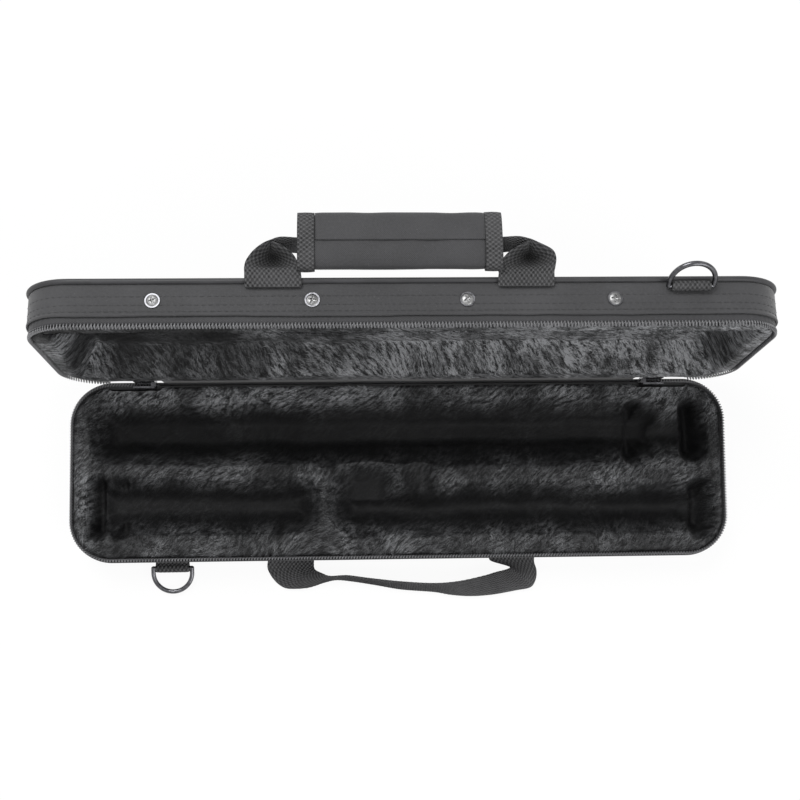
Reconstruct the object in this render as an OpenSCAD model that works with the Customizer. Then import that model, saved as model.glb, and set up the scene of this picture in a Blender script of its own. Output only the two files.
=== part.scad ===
// Zipped flute case, drawn with its lid standing open, in millimetres.
// Origin: middle of the tray's flat base. X runs along the case, Y from the
// opening side to the hinge side, Z up.
// Each half is drawn in a half frame whose Z is the depth behind the rim
// plane, then placed: the tray faces up, the lid is turned about the hinge.

/* [Case] */
// Length of each half over its woven wall
case_l = 410; // [380:1:440]
// Width of each half over its woven wall
case_w = 111; // [106:1:120]
// Corner radius of the outline, seen from above
corner_r = 26; // [22:1:30]
// Height of the tray, base to rim plane
tray_h = 29; // [28:0.5:34]
// Height of the lid, rim plane to top panel
lid_h = 28.5; // [28:0.5:34]
// Angle of the lid from closed
lid_open = 100; // [95:1:110]

/* [Walls] */
// Thickness of the woven cover
cover_t = 1.2; // [0.8:0.1:1.4]
// Thickness of the moulded board shell
shell_t = 2.3; // [1.8:0.1:2.5]
// Thickness of the outer panel of each half
panel_t = 1.0; // [0.6:0.1:1.4]
// Radius of the piping cord
piping_r = 1.6; // [1.2:0.1:2]
// Depth behind the rim where the woven cover's folded edge lies
fold_d = 7.6; // [7:0.1:9]

/* [Zip] */
// Height of one row of coil
coil_h = 3.6; // [3:0.1:4]
// Thickness of the coil
coil_t = 2.0; // [1.6:0.1:2.2]
// Thickness of the zip tape
tape_t = 0.7; // [0.5:0.1:0.8]
// How far the coil stands back from the rim plane
coil_back = 0.8; // [0.7:0.1:1]
// Length of a zip slider
slider_l = 13; // [11:0.5:15]
// Length of a zip pull
pull_l = 19; // [14:0.5:21]
// Distance of each parked slider from the middle of the hinge side
slider_x = 158; // [156:0.5:162]

/* [Moulded insert] */
// Depth of the insert's lands below the rim plane
land_d = 3; // [2.5:0.5:4]
// Depth of the channel floors below the rim plane
floor_d = 23; // [20:0.5:23.5]
// Width of the body-joint channel
body_w = 35; // [30:0.5:36]
// Length of the body-joint channel
body_l = 384; // [370:1:386]
// Width of the foot-joint compartment
foot_w = 32; // [28:0.5:33]
// Length of the foot-joint compartment
foot_l = 142; // [130:1:144]
// Width of the head-joint channel
head_w = 28; // [25:0.5:29]
// Length of the head-joint channel
head_l = 238; // [225:1:240]
// Length of the wide pocket for the head joint's lip plate
lip_pocket_l = 40; // [34:1:46]
// Radius of the plush lips along the channels
lip_r = 3; // [2:0.5:4]
// Depth of the lid's recess floor below the rim plane
recess_d = 20.5; // [16:0.5:22]

/* [Webbing and rings] */
// Width of the handle webbing
web_w = 29; // [26:0.5:31]
// Thickness of the webbing
web_t = 1.8; // [1.4:0.1:2.2]
// Distance between the middles of a handle's two ends
handle_span = 140; // [132:1:146]
// Distance between the middles of the lid handle's two ends
lid_handle_span = 134; // [130:1:140]
// Middle of the lid handle along the case
lid_handle_x = -4; // [-10:1:10]
// Length of the padded wrap
wrap_l = 108; // [90:1:110]
// Width of the padded wrap
wrap_w = 29; // [28:0.5:34]
// Thickness of the padded wrap
wrap_t = 13; // [12:0.5:16]
// Width of each end binding of the wrap
binding_w = 9; // [6:0.5:12]
// Wire radius of the D-rings
ring_wire_r = 1.4; // [1.2:0.1:1.6]
// Outer width of the D-rings
ring_w = 27; // [25:0.5:29]
// Width of the D-ring tabs
tab_w = 21; // [18:0.5:22]
// Distance of the tray's D-ring from the left end
tray_ring_in = 60.5; // [55:0.5:70]
// Distance of the lid's D-ring from the right end
lid_ring_in = 54; // [50:0.5:65]

/* [Screws] */
// Diameter of the screw heads
head_d = 6.4; // [5.5:0.1:7]
// Diameter of the collars under the heads
collar_d = 8; // [7.5:0.1:9]
// Depth of the screws behind the lid's rim plane
screw_d = 16; // [14:0.5:18]

/* [Hidden] */
$fn = 64;

fit_gap = 0.3;
eps = 0.01;
half_l = case_l / 2;
half_w = case_w / 2;
tray_ring_x = -half_l + tray_ring_in;
lid_ring_x = half_l - lid_ring_in;
// The four screws, as shares of the half length
screw_x = [for (share = [-0.654, -0.246, 0.154, 0.539]) share * half_l];

// Fabric hinge: a gusset between two fold lines, one on each half, just behind the back wall
fold_out = 0.5;
fold_depth = 3.5;
leaf_t = 0.4;
leaf_end_d = 14;
hinge_l = 2 * (slider_x - slider_l / 2 - 4);

// Insets from the outer outline
coil_in = 0.6;
shell_in = cover_t + tape_t;
shell_back = shell_in + shell_t;
lining_in = shell_back + fit_gap;
shell_top_d = 6;
tape_end_d = 12;
piping_in = 0.3;
piping_h = 2 * piping_r;
lining_bottom = panel_t + shell_t + 0.2;
hem_out = 0.35;

fabric = [0.055, 0.056, 0.06];
smooth_grey = [0.22, 0.23, 0.24];
plush = [0.03, 0.03, 0.032];
webbing = [0.07, 0.07, 0.075];
nickel = [0.8, 0.8, 0.8];
gunmetal = [0.34, 0.34, 0.35];
board = [0.3, 0.27, 0.22];
coil_black = [0.09, 0.09, 0.095];

// Outline of the case drawn in by an inset, with true round corners
module outline(inset = 0) {
    l = case_l - 2 * inset;
    w = case_w - 2 * inset;
    r = corner_r - inset;
    square([l - 2 * r, w], center = true);
    square([l, w - 2 * r], center = true);
    for (sx = [-1, 1], sy = [-1, 1])
        translate([sx * (l / 2 - r), sy * (w / 2 - r)]) circle(r);
}

// Wall band between two insets and two depths
module band(in0, in1, d0, d1) {
    difference() {
        translate([0, 0, d0]) linear_extrude(d1 - d0) outline(in0);
        translate([0, 0, d0 - 1]) linear_extrude(d1 - d0 + 2) outline(in1);
    }
}

// Flat plate of the outline between two depths
module plate(inset, d0, d1) {
    translate([0, 0, d0]) linear_extrude(d1 - d0) outline(inset);
}

// The zip runs round the front, the sides and the corners, and stops short of the hinge
module without_hinge_side(x_end, d1) {
    difference() {
        children();
        translate([-x_end, half_w - corner_r, -1]) cube([2 * x_end, 2 * corner_r, d1 + 2]);
    }
}
tray_zip_end = slider_x - slider_l / 2 - 1;
lid_zip_end = half_l - corner_r - 1;

// Half frame to the tray: depth runs down from the rim
module on_tray() {
    translate([0, 0, tray_h]) mirror([0, 0, 1]) children();
}

// Turns the closed lid about the gusset's upper fold line
module swing() {
    translate([0, half_w + fold_out, tray_h + fold_depth])
        rotate([-lid_open, 0, 0])
            translate([0, -half_w - fold_out, -tray_h - fold_depth]) children();
}

// Half frame to the lid: depth runs up from the rim of the closed case, then the lid swings
module on_lid() {
    swing() translate([0, 0, tray_h]) children();
}

module piping_ring(h) {
    l = half_l - piping_in;
    w = half_w - piping_in;
    r = corner_r - piping_in;
    translate([0, 0, h - piping_r]) {
        for (s = [-1, 1]) {
            translate([-(l - r), s * w, 0]) rotate([0, 90, 0]) cylinder(r = piping_r, h = 2 * (l - r));
            translate([s * l, w - r, 0]) rotate([90, 0, 0]) cylinder(r = piping_r, h = 2 * (w - r));
        }
        for (sx = [-1, 1], sy = [-1, 1])
            translate([sx * (l - r), sy * (w - r), 0])
                rotate([0, 0, sx > 0 ? (sy > 0 ? 0 : -90) : (sy > 0 ? 90 : 180)])
                    rotate_extrude(angle = 90) translate([r, 0]) circle(piping_r, $fn = 32);
    }
}

module panel(h) {
    plate(piping_in + piping_r + 0.1, h - panel_t, h);
}

// Board shell: a floor on the panel and a wall that steps out below the zip tape
module shell_solid(h) {
    plate(shell_in, h - panel_t - shell_t, h - panel_t);
    band(shell_in, shell_back, shell_top_d, h - panel_t - shell_t);
    band(cover_t, shell_in, tape_end_d + 0.2, h - piping_h - 0.3);
}

module wall_cover(h) {
    band(0, cover_t, fold_d, h - piping_h - 0.1);
    // The folded edge over the tape, doubled outwards into a soft hem
    without_hinge_side(hinge_l / 2 + fit_gap, fold_d + 2) band(-hem_out, 0, fold_d, fold_d + 2);
}

module zip_tape(x_end) {
    without_hinge_side(x_end, tape_end_d)
        band(cover_t, cover_t + tape_t, coil_back + coil_h, tape_end_d);
}

module zip_coil(x_end) {
    without_hinge_side(x_end, coil_back + coil_h)
        band(coil_in, coil_in + coil_t, coil_back, coil_back + coil_h);
}

// One channel of the insert: round floor, straight sides and rolled lips, along X
module trough(x0, x1, y, w, floor_at = floor_d) {
    r = w / 2;
    translate([x0, y, 0]) rotate([90, 0, 90]) linear_extrude(x1 - x0) {
        translate([0, floor_at - r]) circle(r);
        translate([-r, -1]) square([w, floor_at - r + 1]);
        difference() {
            translate([-r - lip_r, -1]) square([w + 2 * lip_r, land_d + lip_r + 1]);
            for (s = [-1, 1]) translate([s * (r + lip_r), land_d + lip_r]) circle(lip_r);
        }
    }
}

// Channel layout, in the half frame
body_x1 = half_l - lining_in - 8.5;
body_x0 = body_x1 - body_l;
body_y = half_w - lining_in - 9 - body_w / 2;
foot_x0 = -half_l + lining_in + 6.5;
foot_x1 = foot_x0 + foot_l;
foot_y = -half_w + lining_in + 13.5 + foot_w / 2;
head_x1 = half_l - lining_in - 4.5;
head_x0 = head_x1 - head_l;
head_y = -half_w + lining_in + 12 + head_w / 2;
lip_pocket_w = 44;
pocket_r = 8;

// Cross slots for the keys and rings of the joints
joint_slots = [50, 14];
joint_slot_w = 9;
joint_slot_d = floor_d - 6;
key_slots = [4, 18];
key_slot_w = 5;
key_slot_out = 3;
tenon_l = 14;
tenon_out = 1.5;
notch_w = 14;
notch_d = 14;
end_slope_d = 16;
end_slope_l = 10;

module tray_insert_solid() {
    insert_h = tray_h - lining_bottom;
    difference() {
        union() {
            plate(lining_in + 2, land_d, insert_h);
            plate(lining_in, land_d + 2, insert_h);
            // Rolled plush edge next to the zip
            translate([0, 0, land_d + 2]) edge_roll();
        }
        // Body joint, with the bevelled left end and the narrow cross slot at its right
        trough(body_x0 + end_slope_l, body_x1, body_y, body_w);
        translate([body_x0 + end_slope_l, body_y, land_d - eps]) rotate([90, 0, 0])
            linear_extrude(body_w - 8, center = true)
                polygon([[eps, 0], [-end_slope_l, 0], [eps, end_slope_d]]);
        for (from_end = joint_slots)
            translate([body_x1 - from_end, body_y - body_w / 2 - 2, -1])
                cube([joint_slot_w, body_w - 2, joint_slot_d + 1]);
        // Foot joint, with two key slots near its left end
        trough(foot_x0, foot_x1, foot_y, foot_w);
        for (from_end = key_slots)
            translate([foot_x0 + from_end, foot_y - foot_w / 2 - key_slot_out, -1])
                cube([key_slot_w, foot_w + 2 * key_slot_out, joint_slot_d + 1]);
        // Head joint, its wide pocket for the lip plate, and the tenon end pocket
        trough(head_x0, head_x1, head_y, head_w);
        translate([head_x0 + lip_pocket_l / 2, head_y + (lip_pocket_w - head_w) / 2, -1])
            lip_pocket();
        translate([head_x1 - tenon_l, head_y - head_w / 2 - tenon_out, -1])
            cube([tenon_l, head_w + 2 * tenon_out, floor_d - 1]);
        // Finger notch in the ridge between the two rows
        translate([head_x0 + lip_pocket_l + notch_w / 2, (head_y + body_y) / 2, notch_d - floor_d])
            rotate([0, 0, 45]) translate([-notch_w / 2, -notch_w / 2, 0]) cube([notch_w, notch_w, floor_d]);
    }
}

// Rounded pocket, half round at both of its long ends
module lip_pocket() {
    h = floor_d - 1;
    translate([-lip_pocket_l / 2, -lip_pocket_w / 2 + pocket_r, 0])
        cube([lip_pocket_l, lip_pocket_w - 2 * pocket_r, h]);
    translate([-lip_pocket_l / 2 + pocket_r, -lip_pocket_w / 2, 0])
        cube([lip_pocket_l - 2 * pocket_r, lip_pocket_w, h]);
    for (sx = [-1, 1], sy = [-1, 1])
        translate([sx * (lip_pocket_l / 2 - pocket_r), sy * (lip_pocket_w / 2 - pocket_r), 0])
            cylinder(r = pocket_r, h = h);
}

// Quarter-round edge along the insert's outline
module edge_roll() {
    l = half_l - lining_in - 2;
    w = half_w - lining_in - 2;
    r = corner_r - lining_in - 2;
    for (s = [-1, 1]) {
        translate([-(l - r), s * w, 0]) rotate([0, 90, 0]) cylinder(r = 2, h = 2 * (l - r), $fn = 32);
        translate([s * l, w - r, 0]) rotate([90, 0, 0]) cylinder(r = 2, h = 2 * (w - r), $fn = 32);
    }
    for (sx = [-1, 1], sy = [-1, 1])
        translate([sx * (l - r), sy * (w - r), 0])
            rotate([0, 0, sx > 0 ? (sy > 0 ? 0 : -90) : (sy > 0 ? 90 : 180)])
                rotate_extrude(angle = 90) translate([r, 0]) circle(2, $fn = 32);
}

// Lid lining: a pad with a wide recess whose four sides slope
module lid_lining_solid() {
    lid_land = 1.5;
    pad_h = lid_h - lining_bottom;
    side = 13;
    slope = 9;
    difference() {
        union() {
            plate(lining_in + 2, lid_land, pad_h);
            plate(lining_in, lid_land + 2, pad_h);
            translate([0, 0, lid_land + 2]) edge_roll();
        }
        intersection() {
            rotate([90, 0, 0]) linear_extrude(case_w, center = true)
                slope_profile(half_l - side, slope, lid_land);
            rotate([90, 0, 90]) linear_extrude(case_l, center = true)
                slope_profile(half_w - side, slope, lid_land);
        }
    }
}

// Half width at the mouth, run of the slope, depth of the mouth
module slope_profile(mouth, slope, top) {
    polygon([[-mouth - slope / 4, top - 1], [-mouth, top + 1], [-mouth + slope, recess_d - 2],
        [-mouth + slope + 2, recess_d], [mouth - slope - 2, recess_d], [mouth - slope, recess_d - 2],
        [mouth, top + 1], [mouth + slope / 4, top - 1]]);
}

// One leaf of the fabric hinge: bound over the rim and sewn down the wall to its fold line
module hinge_leaf() {
    sewn = fold_depth + fit_gap;
    translate([-hinge_l / 2, half_w, sewn]) cube([hinge_l, leaf_t, leaf_end_d - sewn]);
    translate([-hinge_l / 2, half_w - cover_t, coil_back]) cube([hinge_l, cover_t, fold_d - coil_back]);
}
module tray_hinge_leaf() {
    color(fabric) on_tray() hinge_leaf();
}
module lid_hinge_leaf() {
    color(fabric) on_lid() hinge_leaf();
}
module hinge_gusset() {
    h = 2 * (fold_depth - fit_gap);
    color(fabric) translate([-hinge_l / 2, half_w + fold_out - leaf_t / 2, tray_h - h / 2])
        cube([hinge_l, leaf_t, h]);
}

// D-ring: straight bar along X at the origin, bow towards +Y
ring_half = ring_w / 2 - ring_wire_r;
ring_leg = 3;
module d_ring_solid() {
    rotate([0, 90, 0]) cylinder(r = ring_wire_r, h = 2 * ring_half, center = true, $fn = 32);
    for (s = [-1, 1]) {
        translate([s * ring_half, 0, 0]) sphere(ring_wire_r, $fn = 32);
        translate([s * ring_half, 0, 0]) rotate([-90, 0, 0]) cylinder(r = ring_wire_r, h = ring_leg, $fn = 32);
    }
    translate([0, ring_leg, 0]) rotate_extrude(angle = 180)
        translate([ring_half, 0]) circle(ring_wire_r, $fn = 32);
}

// Webbing tab round a ring bar at the origin, its two-ply tail running towards -Y to the seam
tab_hole_r = ring_wire_r + fit_gap;
tab_out_r = tab_hole_r + 1.1;
tail_t = 2.2;
module ring_tab_solid(tail, tail_z) {
    difference() {
        union() {
            rotate([0, 90, 0]) cylinder(r = tab_out_r, h = tab_w, center = true);
            translate([-tab_w / 2, -tail, tail_z]) cube([tab_w, tail, tail_t]);
        }
        rotate([0, 90, 0]) cylinder(r = tab_hole_r, h = tab_w + 2, center = true);
    }
}

// Tray D-ring: bar just off the seam, bow dropping to the floor
tray_ring_y = -half_w - piping_r - tab_out_r - 0.6;
tray_ring_z = 5.2;
tray_ring_drop = 11;
module at_tray_ring() {
    translate([tray_ring_x, tray_ring_y, tray_ring_z]) rotate([0, 0, 180]) children();
}

// Lid D-ring: bar just off the seam of the closed lid, bow pointing up and out
lid_ring_y = -half_w - tab_out_r;
lid_ring_depth = lid_h - piping_h - tab_out_r - 0.4;
lid_ring_lean = 60;
module at_lid_ring() {
    translate([lid_ring_x, lid_ring_y, lid_ring_depth]) rotate([90, 0, 0]) children();
}

// Ribbon through paired edge points, with a thickness: closed sweep of four-sided rings
function unit(v) = v / norm(v);
function mid(a, b, t) = a * (1 - t) + b * t;
function spline(p, i, t) =
    let (n = len(p) - 1, a = p[max(i - 1, 0)], b = p[i], c = p[min(i + 1, n)], d = p[min(i + 2, n)])
    0.5 * (2 * b + (c - a) * t + (2 * a - 5 * b + 4 * c - d) * t * t
        + (3 * b - a - 3 * c + d) * t * t * t);
function smooth(p, k) =
    [for (i = [0 : len(p) - 2], j = [0 : k - 1]) spline(p, i, j / k), p[len(p) - 1]];
module ribbon(edge_a, edge_b, thick, steps = 5) {
    a = smooth(edge_a, steps);
    b = smooth(edge_b, steps);
    n = len(a);
    points = [for (i = [0 : n - 1])
        let (
            along = unit((a[min(i + 1, n - 1)] + b[min(i + 1, n - 1)])
                - (a[max(i - 1, 0)] + b[max(i - 1, 0)])),
            side = unit(cross(along, unit(b[i] - a[i]))) * thick / 2
        ) each [a[i] - side, b[i] - side, b[i] + side, a[i] + side]];
    faces = [
        [0, 1, 2, 3],
        for (i = [0 : n - 2], j = [0 : 3])
            each [[4 * i + j, 4 * i + 4 + (j + 1) % 4, 4 * i + (j + 1) % 4],
                [4 * i + j, 4 * i + 4 + j, 4 * i + 4 + (j + 1) % 4]],
        [for (j = [0 : 3]) 4 * n - 1 - j]
    ];
    polyhedron(points, faces);
}

// Tray handle: sewn ends at the seam, the strap folded to half width along the floor.
// Lengths on the strap are shares of its width.
tray_handle_y = -half_w - web_t / 2;
function of_web(share) = share * web_w;
module tray_handle() {
    x = handle_span / 2;
    y = tray_handle_y;
    w = web_w / 2;
    color(webbing) ribbon(
        [[-x - w, y, of_web(0.16)], [-x - w, y - of_web(0.28), of_web(0.083)],
            [-x - of_web(0.29), y - of_web(0.52), of_web(0.055)],
            [-x + of_web(0.29), y - of_web(0.62), of_web(0.055)],
            [-x + of_web(0.97), y - of_web(0.55), of_web(0.062)],
            [0, y - of_web(0.66), of_web(0.062)],
            [x - of_web(1.59), y - of_web(0.72), of_web(0.062)],
            [x - of_web(0.69), y - of_web(0.9), of_web(0.062)],
            [x + of_web(0.29), y - of_web(0.66), of_web(0.083)],
            [x + w, y - of_web(0.28), of_web(0.09)], [x + w, y, of_web(0.16)]],
        [[-x + w, y, of_web(0.16)], [-x + w, y - of_web(0.155), of_web(0.152)],
            [-x + of_web(0.535), y - of_web(0.224), of_web(0.207)],
            [-x + of_web(0.638), y - of_web(0.276), of_web(0.297)],
            [-x + of_web(1.034), y - of_web(0.276), of_web(0.324)],
            [0, y - of_web(0.345), of_web(0.331)],
            [x - of_web(1.59), y - of_web(0.38), of_web(0.297)],
            [x - of_web(0.93), y - of_web(0.38), of_web(0.224)],
            [x - of_web(0.638), y - of_web(0.31), of_web(0.193)],
            [x - w, y - of_web(0.155), of_web(0.159)], [x - w, y, of_web(0.16)]],
        web_t);
}

// Lid handle, in the half frame of the lid: it leaves the seam in front of the piping
handle_y = -half_w - web_t / 2 - fit_gap;
handle_d = lid_h - piping_h - 2.4;
over_piping = -half_w - 2 * piping_r + piping_in - web_t / 2 + 0.4;
wrap_y = over_piping - 3;
finger_gap = 5;
wrap_d = lid_h + finger_gap + wrap_w / 2;
core_w = 21;
core_t = 4.2;
module lid_handle() {
    x = lid_handle_span / 2;
    w = web_w / 2;
    in_x = wrap_l / 2 - 3;
    end_x = in_x - 2;
    h = core_w / 2 - 0.4;
    color(webbing) on_lid() translate([lid_handle_x, 0, 0]) {
        for (side = [0, 1]) mirror([side, 0, 0])
            ribbon(
                [[x + w, handle_y, handle_d], [x + w, over_piping, lid_h - 1.6],
                    [x + w, over_piping - 0.4, lid_h + 5], [x + w - 3, over_piping - 2, wrap_d + 3],
                    [x + 4, wrap_y - 1, wrap_d + h - 3], [in_x + 4, wrap_y, wrap_d + h - 1],
                    [end_x, wrap_y, wrap_d + h]],
                [[x - w, handle_y, handle_d], [x - w, over_piping, lid_h - 1.6],
                    [x - w, over_piping - 0.2, lid_h], [x - w + 1, over_piping - 1, wrap_d - h - 5],
                    [x - w + 3, wrap_y, wrap_d - h - 2], [in_x + 2, wrap_y, wrap_d - h - 0.5],
                    [end_x, wrap_y, wrap_d - h]],
                web_t);
        translate([-in_x, wrap_y - core_t / 2, wrap_d - core_w / 2]) cube([2 * in_x, core_t, core_w]);
    }
}

// Section of the wrap: a flat oval, with the slot for the folded webbing
module oval(w, t) {
    square([w - t, t], center = true);
    for (s = [-1, 1]) translate([s * (w - t) / 2, 0]) circle(t / 2);
}
module along_wrap(l) {
    on_lid() translate([lid_handle_x, wrap_y, wrap_d]) rotate([0, 90, 0]) linear_extrude(l, center = true)
        children();
}
flap_t = 1.6;
patch_t = 0.6;
patch_w = 8;
body_wrap_l = wrap_l - 2 * binding_w;
module core_slot() {
    square([core_w + 2 * fit_gap, core_t + 2 * fit_gap], center = true);
}
// Half oval skin on the outer side, from a free edge at the middle to the far edge
module flap_section(gap) {
    difference() {
        intersection() {
            oval(wrap_w, wrap_t);
            translate([-wrap_w, -wrap_t]) square([wrap_w + 1 + gap, wrap_t]);
        }
        oval(wrap_w - 2 * flap_t - 2 * gap, wrap_t - 2 * flap_t - 2 * gap);
    }
}
module handle_wrap() {
    color(fabric) along_wrap(body_wrap_l) difference() {
        oval(wrap_w, wrap_t);
        flap_section(fit_gap);
        // Groove for the flap's fold
        translate([-(wrap_w - flap_t) / 2, 0]) circle(flap_t / 2 + fit_gap);
        translate([-patch_w, -wrap_t / 2 + flap_t + fit_gap - 0.1]) square([patch_w, patch_t + 0.1]);
        core_slot();
    }
}
module wrap_bindings() {
    color(webbing) for (s = [-1, 1])
        on_lid() translate([lid_handle_x + s * (wrap_l - binding_w) / 2, wrap_y, wrap_d]) rotate([0, 90, 0])
            linear_extrude(binding_w, center = true) difference() {
                oval(wrap_w, wrap_t);
                core_slot();
            }
}
// Flap: the outer skin of the wrap, hinged along the wrap's far edge
module wrap_flap() {
    color(fabric) along_wrap(body_wrap_l - 2 * fit_gap) flap_section(0);
}
// Hook patch let into the wrap under the flap
module wrap_hook_patch() {
    color([0.05, 0.05, 0.05]) along_wrap(body_wrap_l - 12)
        translate([-patch_w, -wrap_t / 2 + flap_t + fit_gap]) square([patch_w, patch_t]);
}

// Screws stand on the lid's front wall; their shanks reach the nuts inside the shell
collar_t = 0.6;
head_h = 1.5;
shank_r = 1.6;
nut_t = 1.6;
nut_r = 4.2;
hole_gap = 0.15;
wall_depth = shell_back;
module screws_place() {
    for (x = screw_x) translate([x, -half_w, screw_d]) rotate([90, 0, 0]) children();
}
module lid_screws() {
    color(nickel) on_lid() screws_place() difference() {
        union() {
            translate([0, 0, collar_t]) cylinder(d1 = head_d, d2 = head_d - 1.6, h = head_h);
            translate([0, 0, -wall_depth + 0.4]) cylinder(r = shank_r, h = wall_depth - 0.4 + collar_t);
        }
        for (a = [0, 90]) rotate([0, 0, a])
            translate([-1.9, -0.4, collar_t + head_h - 0.9]) cube([3.8, 0.8, 1]);
    }
}
module lid_screw_collars() {
    color(nickel) on_lid() screws_place() difference() {
        cylinder(d = collar_d, h = collar_t);
        translate([0, 0, -1]) cylinder(r = shank_r, h = 3);
    }
}
module lid_screw_nuts() {
    color(gunmetal) on_lid() screws_place() translate([0, 0, -wall_depth]) difference() {
        cylinder(r = nut_r, h = nut_t, $fn = 6);
        translate([0, 0, -1]) cylinder(r = shank_r, h = nut_t + 2);
    }
}
module screw_holes() {
    screws_place() {
        translate([0, 0, -wall_depth - 1]) cylinder(r = shank_r + hole_gap, h = wall_depth + 2);
        translate([0, 0, -wall_depth - 1]) cylinder(r = nut_r + hole_gap, h = nut_t + 1.1, $fn = 6);
    }
}

// Zip slider: two plates either side of the coil, a thin wedge between the rows, and
// lips on the tray's side only, so that the lid's row of coil can leave it
plate_t = 1.1;
slider_half_h = 5.2;
plate_out = fit_gap + plate_t - coil_in;
module slider_solid() {
    inner = coil_in + coil_t + fit_gap + 0.1;
    // X is the inset from the wall's face, Z the depth
    translate([-plate_out, -slider_l / 2, -slider_half_h]) cube([plate_t, slider_l, 2 * slider_half_h]);
    translate([inner, -slider_l / 2, -slider_half_h]) cube([plate_t, slider_l, 2 * slider_half_h]);
    translate([-plate_out + eps, -slider_l / 2, -0.5]) cube([inner + plate_out, 3, 1]);
    // Lips of the two plates towards the tape
    translate([-plate_out + eps, -slider_l / 2, slider_half_h - 0.5])
        cube([cover_t - fit_gap + plate_out, slider_l, 0.5]);
    translate([cover_t + tape_t + fit_gap, -slider_l / 2, slider_half_h - 0.5])
        cube([inner - cover_t - tape_t - fit_gap + eps, slider_l, 0.5]);
    // Staple that holds the pull
    for (s = [-1, 1])
        translate([-plate_out - staple_out, s * 3.2 - 0.7, -0.8]) cube([staple_out + eps, 1.4, 1.6]);
    translate([-plate_out - staple_out + 0.8, 0, 0]) rotate([90, 0, 0])
        cylinder(r = 0.8, h = 6.4, center = true, $fn = 32);
}
staple_out = 3;
// Parked on the hinge side, wedge towards the hinge
module at_slider(s) {
    on_tray() translate([s * slider_x, half_w, 0]) mirror([s > 0 ? 0 : 1, 0, 0]) rotate([0, 0, -90]) children();
}
module zip_slider(s) {
    color(gunmetal) at_slider(s) slider_solid();
}
module zip_slider_left() {
    zip_slider(-1);
}
module zip_slider_right() {
    zip_slider(1);
}

// Pull: an eye round the staple's rail and a tapering tab that hangs beside the wall
eye_r = 0.8 + 0.25;
module pull_solid() {
    translate([-plate_out - staple_out + 0.8, 0, 0]) difference() {
        union() {
            rotate([90, 0, 0]) cylinder(r = eye_r + 0.9, h = 4.4, center = true, $fn = 32);
            translate([-0.7, -2.2, 0]) cube([1.4, 4.4, 5]);
            rotate([0, -90, 0]) translate([0, 0, -0.7]) linear_extrude(1.4)
                polygon([[4, -2.2], [8, -3.6], [pull_l - 2, -3], [pull_l, -1.6], [pull_l, 1.6],
                    [pull_l - 2, 3], [8, 3.6], [4, 2.2]]);
        }
        rotate([90, 0, 0]) cylinder(r = eye_r, h = 8, center = true, $fn = 32);
    }
}
module zip_pull(s) {
    color(gunmetal) at_slider(s) pull_solid();
}
module zip_pull_left() {
    zip_pull(-1);
}
module zip_pull_right() {
    zip_pull(1);
}

module tray_base_panel() {
    color(fabric) on_tray() panel(tray_h);
}
module tray_piping() {
    color(smooth_grey) on_tray() piping_ring(tray_h);
}
module tray_wall_cover() {
    color(fabric) on_tray() wall_cover(tray_h);
}
module tray_shell() {
    color(board) on_tray() shell_solid(tray_h);
}
module tray_insert() {
    color(plush) on_tray() tray_insert_solid();
}
module tray_zip_tape() {
    color(webbing) on_tray() zip_tape(tray_zip_end);
}
module tray_zip_coil() {
    color(coil_black) on_tray() zip_coil(tray_zip_end);
}
module tray_ring_tab() {
    color(webbing) at_tray_ring() ring_tab_solid(-tray_ring_y - half_w, -tail_t / 2);
}
module tray_d_ring() {
    color(gunmetal) at_tray_ring() rotate([-tray_ring_drop, 0, 0]) d_ring_solid();
}
module lid_top_panel() {
    color(fabric) on_lid() panel(lid_h);
}
module lid_piping() {
    color(smooth_grey) on_lid() piping_ring(lid_h);
}
module lid_wall_cover() {
    color(fabric) on_lid() difference() {
        wall_cover(lid_h);
        screw_holes();
    }
}
module lid_shell() {
    color(board) on_lid() difference() {
        shell_solid(lid_h);
        screw_holes();
    }
}
module lid_lining() {
    color(plush) on_lid() lid_lining_solid();
}
module lid_zip_tape() {
    color(webbing) on_lid() zip_tape(lid_zip_end);
}
module lid_zip_coil() {
    color(coil_black) on_lid() zip_coil(lid_zip_end);
}
module lid_ring_tab() {
    color(webbing) on_lid() at_lid_ring() ring_tab_solid(6, -tab_out_r);
}
module lid_d_ring() {
    color(gunmetal) on_lid() at_lid_ring() rotate([lid_ring_lean, 0, 0]) d_ring_solid();
}

tray_base_panel();
tray_piping();
tray_wall_cover();
tray_shell();
tray_insert();
tray_zip_tape();
tray_zip_coil();
tray_hinge_leaf();
hinge_gusset();
tray_ring_tab();
tray_d_ring();
tray_handle();
lid_top_panel();
lid_piping();
lid_wall_cover();
lid_shell();
lid_lining();
lid_zip_tape();
lid_zip_coil();
lid_hinge_leaf();
lid_screws();
lid_screw_collars();
lid_screw_nuts();
lid_ring_tab();
lid_d_ring();
lid_handle();
handle_wrap();
wrap_bindings();
wrap_flap();
wrap_hook_patch();
zip_slider_left();
zip_slider_right();
zip_pull_left();
zip_pull_right();
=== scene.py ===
# %% [markdown]
# Zipped flute case, standing open. A woven cover is stretched over two moulded board shells, a plush insert
# with channels for the three joints of the flute fills the tray, and webbing handles hang on both halves. The
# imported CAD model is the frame. It keeps every rigid piece. The soft pieces (plush, webbing, padding, woven
# cover and zip coil) are drawn again here in mesh code, each one where its CAD solid is.

# %% Load the frame
import math

import bpy
import numpy as np
from mathutils import Matrix, Vector


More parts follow.
